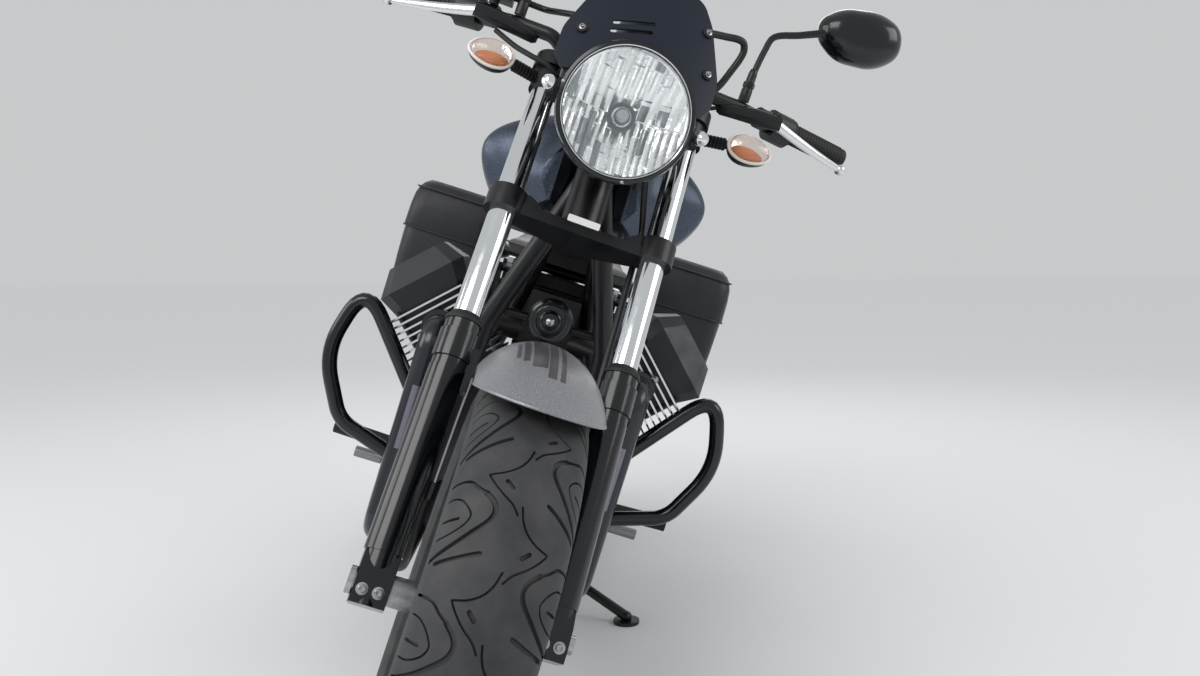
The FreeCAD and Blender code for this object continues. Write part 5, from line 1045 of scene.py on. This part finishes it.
def lip_turn(tilt):
    """Where the front lip stands, so that it runs nearly level."""
    steep = atan(LIP_SLOPE)
    return steep + asin(min(LIP_HEIGHT * cos(steep) / FRONT_GUARD.lift(tilt), 1.0))


def front_turn(tilt, share):
    """From the lip to the rear end."""
    return lip_turn(tilt) + (REAR_TURN - lip_turn(tilt)) * share


front_guard = piece("front_mudguard_sheet", FRONT_GUARD.sheet(front_turn, 84, 110), silver_paint, "fork",
                    FRONT_UPRIGHT, sharp=40)
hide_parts("front_mudguard")
# Stripes: middle across, half width, and where they start and end behind the lip, in millimetres
STRIPES = [(-2, 5, 62, 300), (10, 3, 62, 300), (-17, 8.5, 84, 230), (-32, 3.5, 100, 200),
           (-41, 2, 112, 180)]
stripes = []
for across, half, start, end in STRIPES:
    tilts = [asin((across + half * share) / FRONT_GUARD.bow) for share in (-1, -0.5, 0, 0.5, 1)]
    rows = []
    for step in range(31):
        turn = lip_turn(0) + (start + (end - start) * step / 30) / FRONT_CROWN
        rows.append([FRONT_GUARD.point(tilt, turn, -0.35) for tilt in tilts]
                    + [FRONT_GUARD.point(tilt, turn, 0.3) for tilt in reversed(tilts)])
    stripes.append(skin(rows))
piece("front_mudguard_stripes", merged(stripes), stripe_paint, "fork", FRONT_UPRIGHT,
      sharp=40)
bead = cord([FRONT_GUARD.point(tilt, lip_turn(tilt), 1.5) for tilt in FRONT_GUARD.tilts(40)], 2.1, 10, 2)
piece("front_mudguard_bead", bead, silver_paint, "fork", FRONT_UPRIGHT)
print("front mudguard has", len(front_guard.data.polygons), "faces")

# %% Rear mudguard
REAR_CROWN = 401.5
rear_sheet = Guard(REAR_CROWN, 86, 66).sheet(lambda tilt, share: radians(178 - 112 * share), 30, 60)
rear_guard = piece("rear_mudguard_sheet", rear_sheet, tank_paint, "frame", REAR_WHEEL,
                   sharp=40)
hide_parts("rear_mudguard")
print("rear mudguard has", len(rear_guard.data.polygons), "faces")

# %% [markdown]
# An indicator has a black back with a ribbed rubber stalk, a pale rim, an egg-shaped clear lens and an
# amber bulb behind it.

# %% Front indicators
LEAN = 0.13
INDICATOR_ROOT = at(4, 129.5, 766)
STALK_END = at(26, 168, 758)


def egg(middle, half_sizes, front, back, rows=18, around=40, lean=LEAN):
    """A form like an egg whose narrow end points away from the motorcycle."""
    rings = []
    for row in range(rows + 1):
        angle = pi * row / rows
        along = -cos(angle)
        rings.append([at(middle[0] + along * (front if along > 0 else back),
                         middle[1] + across * half_sizes[0] * sin(angle) * (1 + lean * across),
                         middle[2] + up * half_sizes[1] * sin(angle)) for across, up in circle(1, around)])
    return rings


rim_line = [(40, 199 + 33 * across * (1 + LEAN * across), 754 + 22 * up) for across, up in circle(1, 48)]
rib_form = lathe([(5, -2.2), (9.4, -1.6), (9.8, 0), (9.4, 1.6), (5, 2.2)], 20, caps=True)
rib_spots = [INDICATOR_ROOT.lerp(STALK_END, 0.2 + 0.125 * rib) for rib in range(7)]
stalk_ribs = placed(rib_form, [(spot, STALK_END - INDICATOR_ROOT) for spot in rib_spots])
stalk = cord([INDICATOR_ROOT, INDICATOR_ROOT + at(9, 17, -4), at(30, 172, 756)], 6.5, 16, 6)
INDICATOR_PARTS = [
    ("back", skin(egg((36, 199, 754), (34, 22.5), 3, 26)), grained_black),
    ("dish", skin(egg((38, 199, 754), (31, 20), 2, 12, 12)), metallised),
    ("bulb", skin(egg((41, 197, 744.5), (24, 9.5), 8, 5, 12, 32)), amber_bulb),
    ("lens", skin(egg((40, 199, 754), (32, 21), 20, 2), caps=False), clear_acrylic),
    ("rim", cord(rim_line + rim_line[:1], 2.6, 10, 2), pale_rim),
    ("stalk", merged([stalk, stalk_ribs]), soft_rubber),
]
for name, side in (("left", 1), ("right", -1)):
    for part, form, finish in INDICATOR_PARTS:
        flipped = moved(form, Matrix.Scale(side, 4, (0, 1, 0)))
        made = piece("front_indicator_%s_%s" % (name, part), flipped, finish, "fork", FORK)
        if (name, part) == ("left", "back"):
            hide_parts("front_indicators")
print("indicators made")

# %% [markdown]
# Bolts, nuts and collars are small, but the eye finds them. Each kind is one form, copied on its spots.

# %% Bolts and collars on the fork
FORK_HALF = 113.5
SIDES = (-1, 1)
slider_bolts = [((24, side * FORK_HALF + across, -9), (1, 0, -0.12))
                for side in SIDES for across in (-10, 10)]
piece("slider_foot_bolts", placed(socket_bolt(5, 6), slider_bolts), zinc_steel, "fork", FORK)
seal = lathe([(19.4, 357), (25.4, 357), (26, 360), (25, 363.5), (22.5, 366), (20.4, 370), (19.4, 370)])
seals = merged([moved(seal, shift(0, side * FORK_HALF, 0) @ STANDING) for side in SIDES])
piece("fork_dust_seals", seals, soft_rubber, "fork", FORK)
plate_outline = oblong(24, 5.5, 2, 4)
plate = skin([[at(ahead, point.x, 557 + point.y) for point in plate_outline] for ahead in (14.4, 15.8)])
piece("lower_clamp_blank_plate", plate, plate_white, "fork", FORK)
lug_bolts = [((10.5, side * 99, up), (1, side * 0.15, 0)) for side in SIDES for up in (276, 312)]
piece("mudguard_lug_bolts", placed(socket_bolt(4.5, 5), lug_bolts), zinc_steel, "fork", FORK)
ear_nuts = [((1281, side * 108, 985), (0.75, side * 0.66, 0)) for side in SIDES]
piece("lamp_ear_nuts", placed(dome_nut(10.5, 14), ear_nuts), hard_chrome, "fork", STEERED)
screw_turns = [radians(16), radians(-96)]
lamp_screws = [((4, 93.5 * sin(turn), -93.5 * cos(turn)), (1, 0, 0)) for turn in screw_turns]
piece("lamp_rim_screws", placed(dome_nut(2.6, 3), lamp_screws), zinc_steel, "fork", LAMP)
print("fork bolts made")

# %% [markdown]
# The engine guards are one bent tube on each side. Its two ends stand on a post that a ring clamps to
# the frame's down tube.

# %% Engine guards
GUARD_ROOT = at(1014, 120, 345)
GUARD_TOP = GUARD_ROOT + at(0, 0, 91)
GUARD_BENDS = [(GUARD_ROOT, 5), (at(983, 152, 352), 45), (at(981, 290, 396), 60), (at(980, 345, 500), 130),
               (at(980, 310, 630), 72), (at(983, 168, 455), 50), (GUARD_TOP, 5)]
guard_line = rounded([point for point, radius in GUARD_BENDS], [radius for point, radius in GUARD_BENDS], 9)
down_tube = at(4, -10, 225).normalized()
clamp = moved(lathe([(16.4, -15), (22, -15), (22, 15), (16.4, 15)], 40),
              aimed(at(1041, 122, 195) + down_tube * 150.2, down_tube))
guard_form = merged([cord(guard_line[5:-5], 12.7, 20, 1), cord([GUARD_ROOT, GUARD_TOP], 9, 16, 1), clamp])
guards = piece("engine_guard_tubes", twin(guard_form), gloss_black, "frame", sharp=60)
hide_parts("engine_guards")
print("engine guards made")

# %% [markdown]
# Each mirror has a domed back, a rim and a glass that is set a little into it. The stalk rises from a
# boot on the handlebar, bends, and thickens where it meets the head.

# %% Mirrors
MIRROR_FOOT = at(1067.8, 187.4, 1097.8)
MIRROR_OUTLINE = [(-70, -10), (-38, -42), (28, -50), (70, -26), (70, 20), (28, 43), (-35, 43), (-70, 22)]
MIRROR_TURN = Matrix.Translation(MIRROR_FOOT + at(-14, 150, 166)) @ turning("X", 14) @ shift(-16, 0, 0)
# How far ahead each ring of the head lies, and its share of the outline
HEAD_RINGS = [(1.6, 0.925), (0, 0.94), (0, 0.985), (2, 1.0), (8, 0.995), (14, 0.965), (20, 0.92),
              (26, 0.85), (31, 0.76), (35, 0.65), (38, 0.5), (39.6, 0.3), (40, 0.05)]
GLASS_RINGS = [(1.4, 0.93), (1.1, 0.9), (0.9, 0.1)]
# Steps from the foot along the stalk, with its radius
STALK = [((0, 0, 0), 5.2), ((-2, 1, 40), 5.2), ((-9, 7, 88), 5.2), ((-13, 15, 114), 5.4),
         ((-13, 52, 131), 5.6), ((-14, 92, 150), 6.5), ((-14, 126, 165), 8)]


def mirror_form(levels):
    """A skin through shrinking copies of the mirror's outline, in its place."""
    rings = []
    for ahead, share in levels:
        corners = [(across * share, up * share, 0) for across, up in MIRROR_OUTLINE]
        rings.append([at(ahead, point.x, point.y) for point in rounded(corners, [90] * 8, 10)])
    return moved(skin(rings), MIRROR_TURN)


foot_place = Matrix.Translation(MIRROR_FOOT) @ STANDING
boot = lathe([(9, 0), (9, 18), (7.6, 22), (7.2, 44), (6.2, 50), (5, 52)], 32, caps=True)
boot_nut = lathe([(9.6, 22), (9.6, 30)], 6, caps=True)
stalk_line = [MIRROR_FOOT + Vector(step) for step, radius in STALK]
stalk = cord(stalk_line, [radius for step, radius in STALK], 16, 6)
mirror_heads = piece("mirror_heads", twin(mirror_form(HEAD_RINGS)), gloss_black, "fork", STEERED,
                     sharp=50)
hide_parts("mirrors")
piece("mirror_glass", twin(mirror_form(GLASS_RINGS)), hard_chrome, "fork", STEERED)
stalk_form = merged([stalk, moved(merged([boot, boot_nut]), foot_place)])
piece("mirror_stalks", twin(stalk_form), satin_black, "fork", STEERED)
print("mirrors made")

# %% [markdown]
# The screen is held by three bolts on rubber washers. A bent tube carries its left edge.

# %% Screen bolts and tube
SCREEN_TURN = turning("Y", -24).to_3x3()
SCREEN_FOOT = at(1243, 0, 1041)
SCREEN_BOW = 420
SCREEN_BOLTS = [(-91.6, 110), (83, 178), (99, 112)]


def screen_face(across, up, ahead):
    """A point on the screen's front, and the way the screen looks there."""
    depth = sqrt(SCREEN_BOW ** 2 - across ** 2)
    out = SCREEN_TURN @ at(depth, across, 0).normalized()
    return SCREEN_FOOT + SCREEN_TURN @ at(depth - SCREEN_BOW, across, up - 60) + out * ahead, out


washer = lathe([(3, 0), (7.6, 0), (8.4, 1.6), (7.6, 3.2), (3, 3.6)], 28)
washers = placed(washer, [screen_face(*spot, 0.2) for spot in SCREEN_BOLTS])
piece("screen_washers", washers, soft_rubber, "fork", STEERED)
bolts = placed(socket_bolt(3.1, 4), [screen_face(*spot, 3) for spot in SCREEN_BOLTS])
piece("screen_bolts", bolts, zinc_steel, "fork", STEERED)
tube_line = [screen_face(70, 180, -8)[0], (1166, 112, 1156), (1158, 140, 1160), (1154, 147, 1146),
             (1152, 138, 1112), (1156, 128, 1086), (1160, 114, 1066)]
piece("screen_tube", cord(tube_line, 5.5, 14, 6), satin_black, "fork", STEERED)
print("screen bolts made")

# %% [markdown]
# Each hand lever turns in a black holder, and its alloy blade is flat, bowed, and ends in a ball. The
# clutch cable and a hose on the right leave the bar and go down behind the headlight.

# %% Hand levers
BAR_BEND = at(1068, 182, 1086)
BAR_END = at(978, 395, 1084)
BAR_RUN = (BAR_END - BAR_BEND).normalized()
PERCH = BAR_BEND + BAR_RUN * 54
PIVOT = PERCH + at(34, 16, -6)
BALL = BAR_END + at(36, -4, -24)


def blade(points, wide, thick):
    """A flat bar with round edges along a line. Sizes are given for each point."""
    rings = []
    for ring, tall, deep in zip(cord_rings(points, 1.0, 16, 1), wide, thick):
        middle = sum(ring, Vector()) / len(ring)
        steps = [point - middle for point in ring]
        rings.append([middle + at(step.x * deep, step.y * deep, step.z * tall) for step in steps])
    return skin(rings)


shares = [k / 14 for k in range(15)]
blade_line = [PIVOT + (BALL - PIVOT) * share + at(7, 0, -4) * sin(pi * share) for share in shares]
blade_form = blade(blade_line, [9 - 3.4 * share for share in shares], [5 - 1.2 * share for share in shares])
ball = lathe([(9.5 * sin(pi * share) + 0.02, 9.5 * cos(pi * share)) for share in shares], 28)
lever_form = merged([blade_form, moved(ball, Matrix.Translation(BALL))])
levers = piece("lever_blades", twin(lever_form), machined_alloy, "fork", STEERED)
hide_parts("hand_levers")
# Steps from the pivot along a holder, with its height and depth
HOLDER = [((4, 6, 1), 11, 10), ((2, -14, 0), 13, 12), ((0, -40, -1), 13, 11), ((-2, -70, -4), 11.5, 9),
          ((-4, -92, -7), 10, 8), ((-4, -98, -8), 6, 5)]
holder = blade([PIVOT + Vector(step) for step, tall, deep in HOLDER], [tall for step, tall, deep in HOLDER],
               [deep for step, tall, deep in HOLDER])
clamp = moved(lathe([(11.3, -13), (16, -13), (17, -12), (17, 12), (16, 13), (11.3, 13)], 40),
              aimed(PERCH, BAR_RUN))
bridge = cord([PERCH + at(8, 0, -2), PIVOT], 9, 16, 2)
washer = lathe([(0.05, 0), (7.425, 0), (7.425, 1.2), (0.05, 1.2)], 20)
bolt_head = lathe([(0.05, 1.2), (5.5, 1.2), (5.5, 4), (4.4, 5), (0.05, 5)], 6)
pivot_bolt = moved(merged([washer, bolt_head]), Matrix.Translation(PIVOT + at(0, 0, 11)) @ STANDING)
holder_form = merged([clamp, holder, bridge, pivot_bolt])
piece("lever_holders", twin(holder_form), satin_black, "fork", STEERED)
print("levers made")

# %% Cables and grip ribs
clutch_cable = cord([PIVOT + at(-4, -98, -8), PIVOT + at(2, -128, -24), (1120, 84, 1020), (1140, 66, 960),
                     (1150, 60, 900)], 3.2, 10, 8)
right_hose = cord([(1078, -214, 1062), (1100, -178, 1046), (1128, -150, 1036), (1140, -118, 1028),
                   (1130, -80, 1000), (1120, -60, 950)], 4.2, 10, 8)
piece("bar_cables", merged([clutch_cable, right_hose]), soft_rubber, "fork", STEERED)
grip_rib = lathe([(16.4, -1.6), (17.5, -0.9), (17.5, 0.9), (16.4, 1.6)], 32)
ribs = placed(grip_rib, [(BAR_END - BAR_RUN * (12 + 6.5 * k), BAR_RUN) for k in range(16)])
piece("grip_ribs", twin(ribs), soft_rubber, "fork", STEERED)
print("cables made")

# %% [markdown]
# The front edge of every cooling fin is machined bright. A strip lies over each edge, in the cylinder's
# own frame, whose axis leans 45 degrees out from the crankshaft. A thin strip lies along the top of each
# exhaust pipe at the heat shield's flat face, and its pale colour is a painted highlight.

# %% Engine details
FIN_PITCH = 12
PIPE_OUT = 174.6
# Each pack of fins: height of the first, how many, and half width
FIN_PACKS = [(125.3, 8, 80), (219.3, 7, 84)]
fin_edges = []
for first, count, half in FIN_PACKS:
    for low in [first + FIN_PITCH * fin - 0.15 for fin in range(count)]:
        corners = [(half - 0.5, low), (half + 0.5, low), (half + 0.5, low + 3.3), (half - 0.5, low + 3.3)]
        fin_edges.append(skin([[at(ahead, across, up) for ahead, up in corners]
                               for across in (19 - half, half - 19)]))
core = skin([[at(point.x, point.y, up) for point in oblong(66, 63, 16, 4)] for up in (119, 302)])
highlight_strip_turns = [radians(-18 + 6 * k) for k in range(7)]
highlight_strip_outline = [(22.7 * cos(turn), 22.7 * sin(turn)) for turn in highlight_strip_turns]
highlight_strip_outline += [(21.9 * cos(turn), 21.9 * sin(turn)) for turn in highlight_strip_turns[::-1]]
for side, name in ((1, "left"), (-1, "right")):
    CYLINDER = BIKE @ shift(880, 0, 420) @ turning("X", -45 * side)
    piece("barrel_core_" + name, core, engine_black, "frame", CYLINDER, sharp=40)
    piece("fin_edges_" + name, merged(fin_edges), machined_alloy, "frame", CYLINDER,
          sharp=30)
    flange = [((985, side * PIPE_OUT + away, 594.6 + away), (1, 0, 0)) for away in (-24, 24)]
    nuts = placed(dome_nut(6, 9), flange)
    piece("exhaust_flange_nuts_" + name, nuts, zinc_steel, "frame")
    # The pale strip on each pipe is a painted highlight of the heat shield's flat face.
    highlight_strip = skin([[at(1024 + ahead, side * PIPE_OUT + across, 500 - 9 * step)
                    for ahead, across in highlight_strip_outline] for step in range(13)])
    piece("header_painted_highlight_strip_" + name, highlight_strip, highlight_strip_metal, "frame", sharp=40)
HORN = BIKE @ shift(1085, 0, 668)
horn_rings = lathe([(33, 22.5), (30, 24.2), (26, 23.4), (22, 25.4), (17, 25), (14, 27), (12.5, 30.4),
                    (7, 31)])
piece("horn_rings", horn_rings, gloss_black, "frame", HORN)
centre_nut = moved(dome_nut(6.5, 6), shift(34, 0, 0))
piece("horn_centre_nut", centre_nut, zinc_steel, "frame", HORN)
print("engine details made")

# %% [markdown]
# Some pieces are seen from the rider's place and from behind: the dial with its numbers, the tail lamp's
# lens, the rear indicators' lenses and the bright collars of the pegs.

# %% Dial
DIAL = (STEERED @ shift(1160, 0, 1085) @ turning("Y", -38) @ turning("X", 90) @ shift(0, 44.3, 0)
        @ turning("Z", 90) @ turning("X", 180))


def dial_turn(share):
    """Where a share of the dial's range lies, in radians from its top."""
    return radians(-130 + 260 * share)


def dial_bar(share, inner, outer, half, lift):
    """A thin bar on the dial between two radii."""
    turn = dial_turn(share)
    along = at(0, sin(turn), cos(turn))
    side = at(0, cos(turn), -sin(turn)) * half
    corners = [along * inner - side, along * inner + side, along * outer + side, along * outer - side]
    return skin([[corner + at(height, 0, 0) for corner in corners] for height in (lift, lift + 0.4)])


def number_form(text, middle):
    """A raised number, from Blender's own letters."""
    letters = bpy.data.curves.new("dial_number_" + text, "FONT")
    letters.body = text
    letters.size = 6.5
    letters.extrude = 0.15
    letters.align_x = "CENTER"
    letters.align_y = "CENTER"
    writer = bpy.data.objects.new("dial_writer", letters)
    bpy.context.scene.collection.objects.link(writer)
    shape = bpy.data.meshes.new_from_object(writer.evaluated_get(bpy.context.evaluated_depsgraph_get()))
    bpy.data.objects.remove(writer)
    points = [middle + at(vertex.co.z, vertex.co.x, vertex.co.y) for vertex in shape.vertices]
    return points, [tuple(face.vertices) for face in shape.polygons]


long_ticks = [dial_bar(k / 8, 25.5, 32, 0.9, 0.4) for k in range(9)]
short_ticks = [dial_bar((k + 0.5) / 8, 28, 32, 0.5, 0.4) for k in range(8)]
DIAL_PARTS = [
    ("dial_face", lathe([(0.2, 0.3), (34, 0.3), (34, 0.0)], 64), grained_black),
    ("dial_ticks", merged(long_ticks + short_ticks), plate_white),
    ("dial_needle", dial_bar(0, -6, 24, 0.8, 1.4), red_lens),
    ("dial_hub", lathe([(4, 0.4), (4, 2.6), (0.2, 3)], 24), satin_black),
]
for count in range(5):
    turn = dial_turn(count / 4)
    number = number_form(str(40 * count), at(0.7, 20 * sin(turn), 20 * cos(turn)))
    DIAL_PARTS.append(("dial_number_%d" % (40 * count), number, plate_white))
for name, form, finish in DIAL_PARTS:
    piece(name, form, finish, "fork", DIAL)
print("dial made")

# %% Tail and pegs
lamp_turn = radians(132)
lamp_spot = at(cos(lamp_turn), 0, sin(lamp_turn)) * (REAR_CROWN + 46.4) + at(-20, 0, REAR_AXLE_UP + 2)
tail_lens = lathe([(40.4, -1), (40.6, 1), (38, 6), (33, 12), (28, 16.4), (20, 18), (0.2, 18.6)])
piece("tail_lamp_lens", moved(tail_lens, aimed(lamp_spot, (-1, 0, 0.05))), red_lens, "frame")
rear_lens = skin(egg((0, 0, 0), (36.4, 24.4), 31, 1, 14, 40, lean=0))
rear_lenses = [moved(rear_lens, shift(-198.3, across, 735) @ turning("Z", 180)) for across in (-196, 196)]
piece("rear_indicator_lenses", merged(rear_lenses), amber_bulb, "frame")
collar = moved(lathe([(11.2, -9), (14, -8), (14, 8), (11.2, 9)], 32), aimed((640, 222, 302), (0, 1, 0)))
piece("peg_collars", twin(collar), zinc_steel, "frame")
print("tail and pegs made")

# %% [markdown]
# The floor and the light are a plain studio: a pale floor, one broad lamp above the front, one on each
# side, one behind, and a pale world that the camera and the chrome both see.

# %% Floor
FLOOR_HALF = 30
floor_mesh = bpy.data.meshes.new("studio_floor")
floor_corners = [(FLOOR_HALF * ahead, FLOOR_HALF * left, 0)
                 for ahead, left in ((-1, -1), (1, -1), (1, 1), (-1, 1))]
floor_mesh.from_pydata(floor_corners, [], [(0, 1, 2, 3)])
studio_floor = bpy.data.objects.new("studio_floor", floor_mesh)
bpy.context.scene.collection.objects.link(studio_floor)
floor_mesh.materials.append(new_finish("pale_studio_floor", "#C9CACA", {"Roughness": 0.8})[0])

# %% World and lamps
world = bpy.data.worlds.new("studio_air")
bpy.context.scene.world = world
world.use_nodes = True
tree = world.node_tree
rays = add(tree, "ShaderNodeLightPath")
glossy = add(tree, "ShaderNodeMath", {"operation": "MAXIMUM"})
tree.links.new(rays.outputs["Is Camera Ray"], glossy.inputs[0])
tree.links.new(rays.outputs["Is Glossy Ray"], glossy.inputs[1])
seen = add(tree, "ShaderNodeMath", {"operation": "MAXIMUM"})
tree.links.new(glossy.outputs["Value"], seen.inputs[0])
tree.links.new(rays.outputs["Is Transmission Ray"], seen.inputs[1])
ambient = tree.nodes["Background"]
ambient.inputs["Color"].default_value = colour("#E8EAEC")
ambient.inputs["Strength"].default_value = 1.2
backdrop = add(tree, "ShaderNodeBackground", {"Color": colour("#DADCDD"), "Strength": 0.82})
mixed = add(tree, "ShaderNodeMixShader")
tree.links.new(seen.outputs["Value"], mixed.inputs[0])
tree.links.new(ambient.outputs["Background"], mixed.inputs[1])
tree.links.new(backdrop.outputs["Background"], mixed.inputs[2])
tree.links.new(mixed.outputs["Shader"], tree.nodes["World Output"].inputs["Surface"])

LAMPS = [
    # name, place, width, height, watts
    ("broad_front_lamp", (2.6, -1.6, 2.9), 2.4, 1.6, 50),
    ("left_side_lamp", (1.2, 3.2, 2.0), 2.0, 1.4, 24),
    ("right_side_lamp", (0.6, -3.2, 2.2), 2.0, 1.4, 24),
    ("rear_lamp", (-3.0, 0.6, 2.6), 2.4, 1.4, 24),
]
LAMPS_LOOK_AT = Vector((0.1, 0, 0.55))
for name, place, width, height, watts in LAMPS:
    light = bpy.data.lights.new(name, "AREA")
    light.shape = "RECTANGLE"
    light.size = width
    light.size_y = height
    light.energy = watts
    lamp = bpy.data.objects.new(name, light)
    lamp.location = place
    lamp.rotation_euler = (LAMPS_LOOK_AT - Vector(place)).to_track_quat("-Z", "Y").to_euler()
    bpy.context.scene.collection.objects.link(lamp)
bpy.context.scene.view_settings.view_transform = "Standard"
print("lamps and world made")
